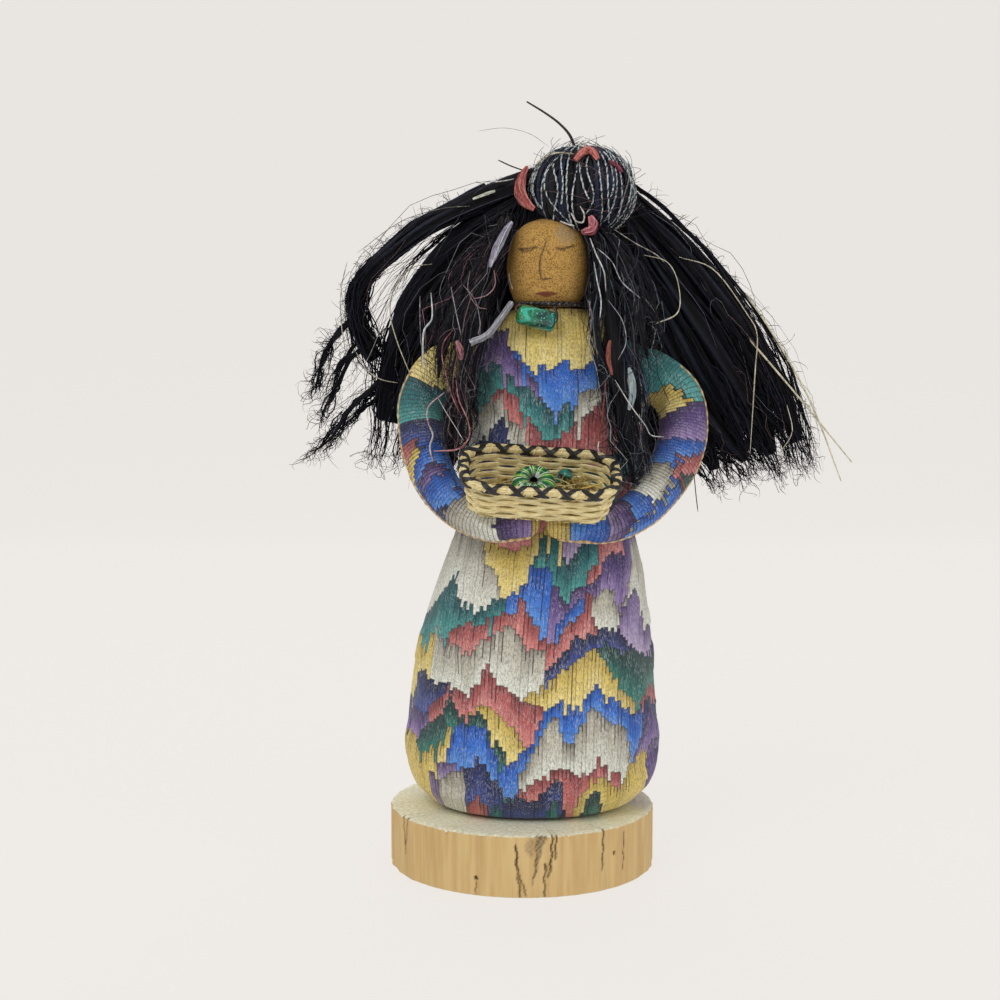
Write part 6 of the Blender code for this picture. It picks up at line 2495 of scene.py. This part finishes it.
FALL_STRAWS = (
    Thread((
        (679, 257), (714, 270), (747, 314), (757, 335), (755, 373), (750, 454)), 0.36, CREAM, depth_mm=4.0),
    Thread(((787, 405), (792, 432), (779, 454)), 0.3, CREAM, depth_mm=6.0),
    Thread(((694, 474), (696, 495), (698, 512)), 0.3, DARK, depth_mm=14.0),
    Thread(((347, 262), (341, 290), (341, 320), (346, 356)), 0.36, ("d8d6cc", "a9aaa4"), depth_mm=8.0),
    Thread(((356, 352), (365, 368), (380, 379), (398, 383)), 0.26, CREAM, depth_mm=6.0),
    Thread(((388, 300), (378, 335), (366, 362), (350, 388)), 0.2, ("b4b3aa", "8a8a84"), depth_mm=6.0),
    Thread(((470, 206), (440, 209), (400, 222), (357, 253)), 0.2, ("6a685f", "a5a294"), depth_mm=8.0),
    Thread(((495, 191), (486, 194), (473, 199)), 0.6, ("c9cbb6", "e4e6d8"), 0.6, 6.0),
    Thread(((514, 179), (504, 181), (494, 182)), 0.36, WHITE, depth_mm=4.0),
    Thread(((498, 160), (511, 166), (525, 171)), 0.42, DARK, depth_mm=-4.0),
    Thread(((478, 131), (505, 128), (530, 134), (549, 147)), 0.12, ("8a8680", "5a5650"), depth_mm=-2.0),
)
KNOT_SLUBS = (
    Thread(((527, 167), (521, 179), (520, 191), (525, 202), (534, 209)), 2.4, ("b85c58", "dc948c"), 1.0),
    Thread(((575, 160), (583, 152), (592, 151), (598, 159)), 1.7, ("b8584f", "d4847a"), 0.6),
    Thread(((590, 216), (593, 223), (592, 230), (582, 232)), 2.2, ("c26a72", "dd9aa0"), 0.8),
    Thread(((609, 161), (616, 165), (622, 172)), 0.9, ("6a2e38", "96485a"), 0.6),
    Thread(((583, 149), (587, 142), (591, 136)), 0.25, WHITE, depth_mm=-3.0),
    Thread(((574, 154), (556, 153), (541, 160), (534, 168)), 0.5, ("c9c2a8", "8a8470")),
    Thread(((571, 213), (576, 221), (583, 222), (584, 214), (580, 206)), 0.5, WHITE),
    Thread(((560, 221), (567, 224), (575, 226)), 0.6, WHITE),
    Thread(((612, 157), (624, 160), (629, 176), (624, 196), (617, 222)), 0.25, GREY),
    Thread(((509, 273), (510, 281), (513, 290)), 0.35, WHITE),
)


@dataclass
class LooseThreads:
    """Loose threads, slubs and straws, laid on whatever lies behind them."""

    studio: Studio
    steps: int = 28
    lift_mm: float = 0.25
    wide_mm: float = 1.0
    steepest: float = 0.7
    near_doll: float = 0.06
    slub_fibres: int = 46
    fibre_radius: float = 0.00015

    def __post_init__(self) -> None:
        """Readies the pieces that threads can lie on."""
        pieces = [o for o in bpy.context.scene.objects if o.type == "MESH" and o.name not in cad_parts]
        seen = bpy.context.evaluated_depsgraph_get()
        self.trees = [BVHTree.FromObject(o, seen) for o in pieces if len(o.data.polygons) > 200]

    def laid(self, thread: Thread) -> Array:
        """Lays a thread on the doll as the camera sees it.

        Each point stands a little before the place where its ray from the camera meets the
        nearest piece, and a thread that hangs beyond the doll keeps its last distance.

        Args:
            thread: The thread.

        Returns:
            Its points.
        """
        flat = smooth_rows(np.asarray(thread.points, float), self.steps)
        wide = self.studio.lens_mm / self.studio.sensor_mm * 1000.0
        tip = math.radians(90.0 - self.studio.camera_pitch_deg)
        right, up = (flat[:, 0] - 500) / wide, (500 - flat[:, 1]) / wide
        rays = np.stack([right, math.cos(tip) + up * math.sin(tip), up * math.cos(tip) - math.sin(tip)], -1)
        eye = np.asarray(self.studio.camera_place)
        plain = (thread.depth_mm * MM - eye[1]) / rays[:, 1]
        far = np.full(self.steps, np.inf)
        for number, ray in enumerate(rays):
            hits = (tree.ray_cast(tuple(eye), tuple(ray))[0] for tree in self.trees)
            far[number] = min([(hit[1] - eye[1]) / ray[1] for hit in hits if hit is not None], default=np.inf)
        met = np.isfinite(far) & (np.abs(far - plain) < self.near_doll)
        far = np.interp(np.arange(self.steps), np.flatnonzero(met), far[met]) if met.any() else plain
        reach = 4 if thread.radius_mm > self.wide_mm else 1
        near = np.minimum.reduce([np.roll(np.pad(far, 4, "edge"), k)[4:-4] for k in range(-reach, reach + 1)])
        run = run_along(flat) / wide * near.mean()
        near = (near[None] + self.steepest * np.abs(run[:, None] - run[None])).min(1)
        smooth = np.convolve(np.pad(near, 3, "edge"), np.full(7, 1 / 7), "valid")
        lift = (thread.radius_mm * 0.6 + self.lift_mm) * MM
        return eye + rays * (np.minimum(smooth, near + lift * 0.5) - lift)[:, None]

    def group(self, name: str, threads: tuple, yarn: Material) -> None:
        """Makes one piece of some threads.

        Args:
            name: The piece's name.
            threads: The threads.
            yarn: Its finish.
        """
        skin = Skin(name)
        rng = np.random.default_rng(len(name))
        s = np.linspace(0, 1, self.steps)
        for thread in threads:
            line = self.laid(thread)
            swell = np.interp(s, [0, 0.12, 0.88, 1], [0.45, 1, 1, 0.35])
            swell = swell * (1 - thread.slub * 0.75 * (2 * s - 1) ** 2) * (1 + 0.06 * np.sin(40 * s))
            picked = rng.random((self.steps, 1)) < 0.35
            dye = np.where(picked, linear(thread.codes[1]), linear(thread.codes[0]))
            bundle = thread.slub > 0
            size = swell * thread.radius_mm * MM * (0.8 if bundle else 1.0)
            # Painted shade: a slub's core, seen between its wound fibres, is darkened to 0.6 of its dye.
            tubes(skin, line[None], size[None], 10, dye[None] * (0.6 if bundle else 1.0), flat=0.6)
            if bundle:
                self.fuzz(skin, line[::3], thread, rng)
        finish_piece(skin.piece(yarn, 75.0), "variegated_yarn")

    def fuzz(self, skin: Skin, line: Array, thread: Thread, rng: Generator) -> None:
        """Winds loose fibres round a slub.

        Args:
            skin: The mesh.
            line: The slub's middle.
            thread: The slub.
            rng: Seeded numbers.
        """
        count, s = self.slub_fibres, np.linspace(0, 1, len(line))
        side, other = (axis[0] for axis in carried_axes(line[None]))
        wind = rng.random((count, 1)) * TURN + rng.uniform(-1.5, 2.5, (count, 1)) * s
        size = thread.radius_mm * MM * (1 - thread.slub * 0.7 * (2 * s - 1) ** 2)
        size = size * (rng.uniform(0.7, 1.1, (count, 1)) + rng.normal(0, 0.08, (count, len(line))))
        points = line + about(wind, side, other * 0.75) * size[..., None]
        dye = tones(*thread.codes)[rng.integers(0, 2, count)] * rng.uniform(0.7, 1.2, (count, 1))
        tubes(skin, points, self.fibre_radius, 3, dye[:, None])

    def build(self, yarn: Material) -> None:
        """Makes the loose pieces, and the stiff straws of the left fall.

        Args:
            yarn: Their finish.
        """
        for name, threads in (
            ("loose_threads_at_right", FACE_SIDE_THREADS), ("loose_threads_at_left", OTHER_SIDE_THREADS),
            ("fall_straws", FALL_STRAWS), ("knot_slubs", KNOT_SLUBS),
        ):
            self.group(name, threads, yarn)
        skin = Skin("stiff_straws")
        for straw in STRAWS:
            line = smooth_rows(share_line(straw), self.steps)
            tubes(skin, line[None, :, :3], line[None, :, 3] * STIFF_SHARE, 6, linear("d8d2b4"))
        finish_piece(skin.piece(yarn), "variegated_yarn")


@dataclass
class LogSlice:
    """The peeled log slice: sawn faces, a worn edge, thin splits and a dark streak at the front.

    Marks are placed in millimetres round the side from its front middle and up from its foot.
    """

    columns: int = 460
    levels: int = 34
    crowding: float = 0.25
    diameter: float = 0.102
    thickness: float = 0.0228
    edge: float = 0.0008
    splits: tuple = (
        (0.30, ((-2.9, 19.2), (-2.6, 11.5), (-1.2, 0.0))), (0.22, ((-1.9, 8.8), (0.9, 1.0))),
        (0.30, ((8.1, 12.2), (7.6, 6.2), (7.9, 0.0))), (0.26, ((10.5, 22.8), (9.9, 12.0), (8.9, 7.4))),
        (0.22, ((11.9, 22.8), (11.5, 14.4))), (0.28, ((31.2, 22.8), (31.0, 14.0), (30.6, 8.0))),
        (0.22, ((-56.5, 22.8), (-54.5, 9.0))), (0.22, ((-52.5, 22.8), (-54.5, 11.0))),
        (0.16, ((-18.4, 5.0), (-18.0, 0.0))), (0.16, ((42.0, 20.0), (41.5, 6.0))),
        (0.40, ((108.0, 22.8), (109.0, 0.0))), (0.45, ((-120.0, 22.8), (-121.0, 0.0))),
        (0.35, ((150.0, 22.8), (149.0, 8.0))),
    )
    streak: tuple = ((6.3, 22.8), (5.2, 15.4), (4.3, 10.1), (2.9, 4.9))
    patch_middle: tuple = (2.2, 18.8)
    patch_half: tuple = (2.1, 4.4)
    holes: tuple = ((-18.0, 6.5, 0.75), (36.7, 13.3, 0.55))

    def build(self, wood: Material) -> None:
        """Makes the slice's skin, from the middle of its foot round its side to the middle of its top.

        The columns crowd at the front: a column's turn is its even turn less a sine of it.

        Args:
            wood: The pine.
        """
        rng = np.random.default_rng(81)
        even = even_turns(self.columns)
        turn = even - self.crowding * np.sin(even) - math.pi / 2
        waves = 0.006 * np.cos(2 * turn + 0.6) + 0.004 * np.cos(3 * turn + 2.1)
        reach = self.diameter / 2 * (1 + waves - waves.max())
        fine = sum(rng.normal(0, 0.00006) * np.cos(k * turn + rng.random() * 6) for k in range(7, 40))
        ragged = sum(rng.normal(0, 0.000035) * np.cos(k * turn + rng.random() * 6) for k in range(20, 150))
        side = np.linspace(0, 1, self.levels)
        side_z = self.edge * 0.5 + (self.thickness - self.edge * 1.3) * side
        inward = np.array([0.02, 0.35, 0.7, 0.93, 0.985])
        rows = [(reach * share, np.zeros(self.columns)) for share in inward]
        rows += [(reach + fine * 0.9 - 0.0002, np.full(self.columns, z)) for z in side_z]
        rows.append((reach - 0.0005 + ragged, self.thickness - np.abs(ragged) * 1.2))
        top = np.full(self.columns, self.thickness)
        rows += [(reach * share - 0.0006 * (share > 0.9), top) for share in inward[::-1]]
        radius, height = (np.array(part) for part in zip(*rows))
        on_side = np.zeros((len(rows), 1))
        on_side[len(inward):len(inward) + self.levels + 1] = 1.0
        around = (even + math.pi) % (TURN) - math.pi
        around = around - self.crowding * np.sin(around)
        along = np.broadcast_to(around * self.diameter / 2, radius.shape)
        places = np.stack([along, height], -1).reshape(-1, 2) / MM
        places[:, 0] += 0.25 * np.sin(places[:, 1] * 1.1) + 0.12 * np.sin(places[:, 1] * 3.7)
        crack = np.zeros(len(places))
        for width, line in self.splits:
            crack = np.maximum(crack, smoothstep(width + 0.25, width - 0.15, line_distance(places, line)))
        wide = 0.3 + 2.2 * (places[:, 1] / (self.thickness / MM)) ** 2.5
        streak = smoothstep(1.2, 0.6, line_distance(places, self.streak) / wide)
        patch = (places - np.array(self.patch_middle)) / np.array(self.patch_half)
        patch = smoothstep(1.1, 0.5, np.linalg.norm(patch, axis=1))
        rough = 0.75 + 0.25 * np.sin(places[:, 0] * 9 + 2 * np.sin(places[:, 1] * 2.3))
        bark = np.maximum(streak * 0.95 * rough, patch * 0.55 * rough)
        for x, up, size in self.holes:
            away = np.hypot(places[:, 0] - x, places[:, 1] - up)
            crack = np.maximum(crack, smoothstep(size * 1.3, size * 0.7, away) * 1.3)
        bark = bark.reshape(radius.shape) * on_side
        crack = crack.reshape(radius.shape) * (on_side + 0.35 * (height > 0.01))
        crack = crack * (on_side + (radius > 0.045) * (1 - on_side))
        radius = radius - (0.0005 * crack + 0.0004 * bark) * on_side
        sawn = np.broadcast_to(1 - on_side, radius.shape).copy()
        sawn[len(inward) + self.levels:] = 1.0
        points = np.stack([np.cos(turn) * radius, np.sin(turn) * radius, height], -1)
        dye = np.stack([sawn, bark, np.minimum(crack, 1.3)], -1)
        skin = Skin("peeled_log_slice")
        skin.add(points, shell_faces(len(rows), self.columns), dye)
        finish_piece(skin.piece(wood, 35.0), "pine", "base_slice")


HEAD_RINGS = solid_rings("head")
BODY_RINGS = solid_rings("body")


def main() -> None:
    """Builds and dresses the doll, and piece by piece."""
    Studio().build()
    cloth = StitchedCloth().make()
    black_cord = DyedYarn("black_cord", 0.42, 900.0, 0.5, 0.05).make()
    black_yarn = DyedYarn("black_yarn", 0.6, sheen=0.0, gloss=0.13).make()
    knot_yarn = DyedYarn("variegated_yarn", 0.6, 1200.0, 0.35, 0.0, 0.25).make()
    piping = DyedYarn("seam_piping", 0.7, 1500.0, 0.3).make()
    cane = SplitCane().make()
    hold = Hold()
    LogSlice().build(Pine().make())
    Dress().build(cloth)
    Sleeve("right", RIGHT_ARM_LINE, RIGHT_SLEEVE_CHART, 1.0, hold).build(cloth, piping)
    Sleeve("left", LEFT_ARM_LINE, LEFT_SLEEVE_CHART, -1.0, hold).build(cloth, piping)
    Head().build(Suede().make())
    collar = Collar()
    collar.cord(black_cord)
    collar.bead(GlowGlass("green_glass", 0.14, 0.5).make(), black_cord)
    Basket(hold).build(cane, black_cord)
    load = BasketLoad(hold)
    load.straw(DyedYarn("straw", 0.7, 900.0, 0.3, 0.0).make())
    load.striped(GlowGlass("striped_glass", 0.12).make())
    load.nugget(GlowGlass("turquoise_glass", 0.2, 0.2, 700.0, 0.0003).make())
    for side, fall, seed, sign in (("right", RIGHT_FALL, 91, -1.0), ("left", LEFT_FALL, 92, 1.0)):
        YarnMass(
            f"{side}_hair", f"hair_{side}", "black_yarn", fall, 72, 9, 220, seed, sign, tip_strands=200,
        ).build(black_yarn)
    Topknot().build(knot_yarn)
    for side, locks, ropes, seed, sign, pale_share, pale_tones in (
        ("right", RIGHT_FRONT_LOCKS, 34, 93, -1.0, 0.08, ("6d6268", "93787c", "8f939c", "9a6a70")),
        ("left", LEFT_FRONT_LOCKS, 38, 94, 1.0, 0.12, ("a4aeb5", "67727f", "c3c8ca", "5f5a60")),
    ):
        YarnMass(
            f"{side}_front_yarn", f"{side}_front_lock", "variegated_yarn", locks, ropes, 6, 110, seed,
            face_side=sign, pale_share=pale_share, pale_stray_share=0.3, pale_tones=pale_tones,
            thick_mm=(0.16, 0.3), stray_mm=(0.08, 0.15), behind_mm=None, core_share=0.4, wave_mm=1.1,
            kink_mm=0.9, fray=1.6, curls=260, curl_mm=(0.8, 2.6), edge_pull=1.0, whole_locks=(),
        ).build(knot_yarn)
    LooseThreads(Studio()).build(knot_yarn)


if __name__ == "__main__":
    logging.basicConfig(level=logging.INFO, format="%(message)s")
    main()
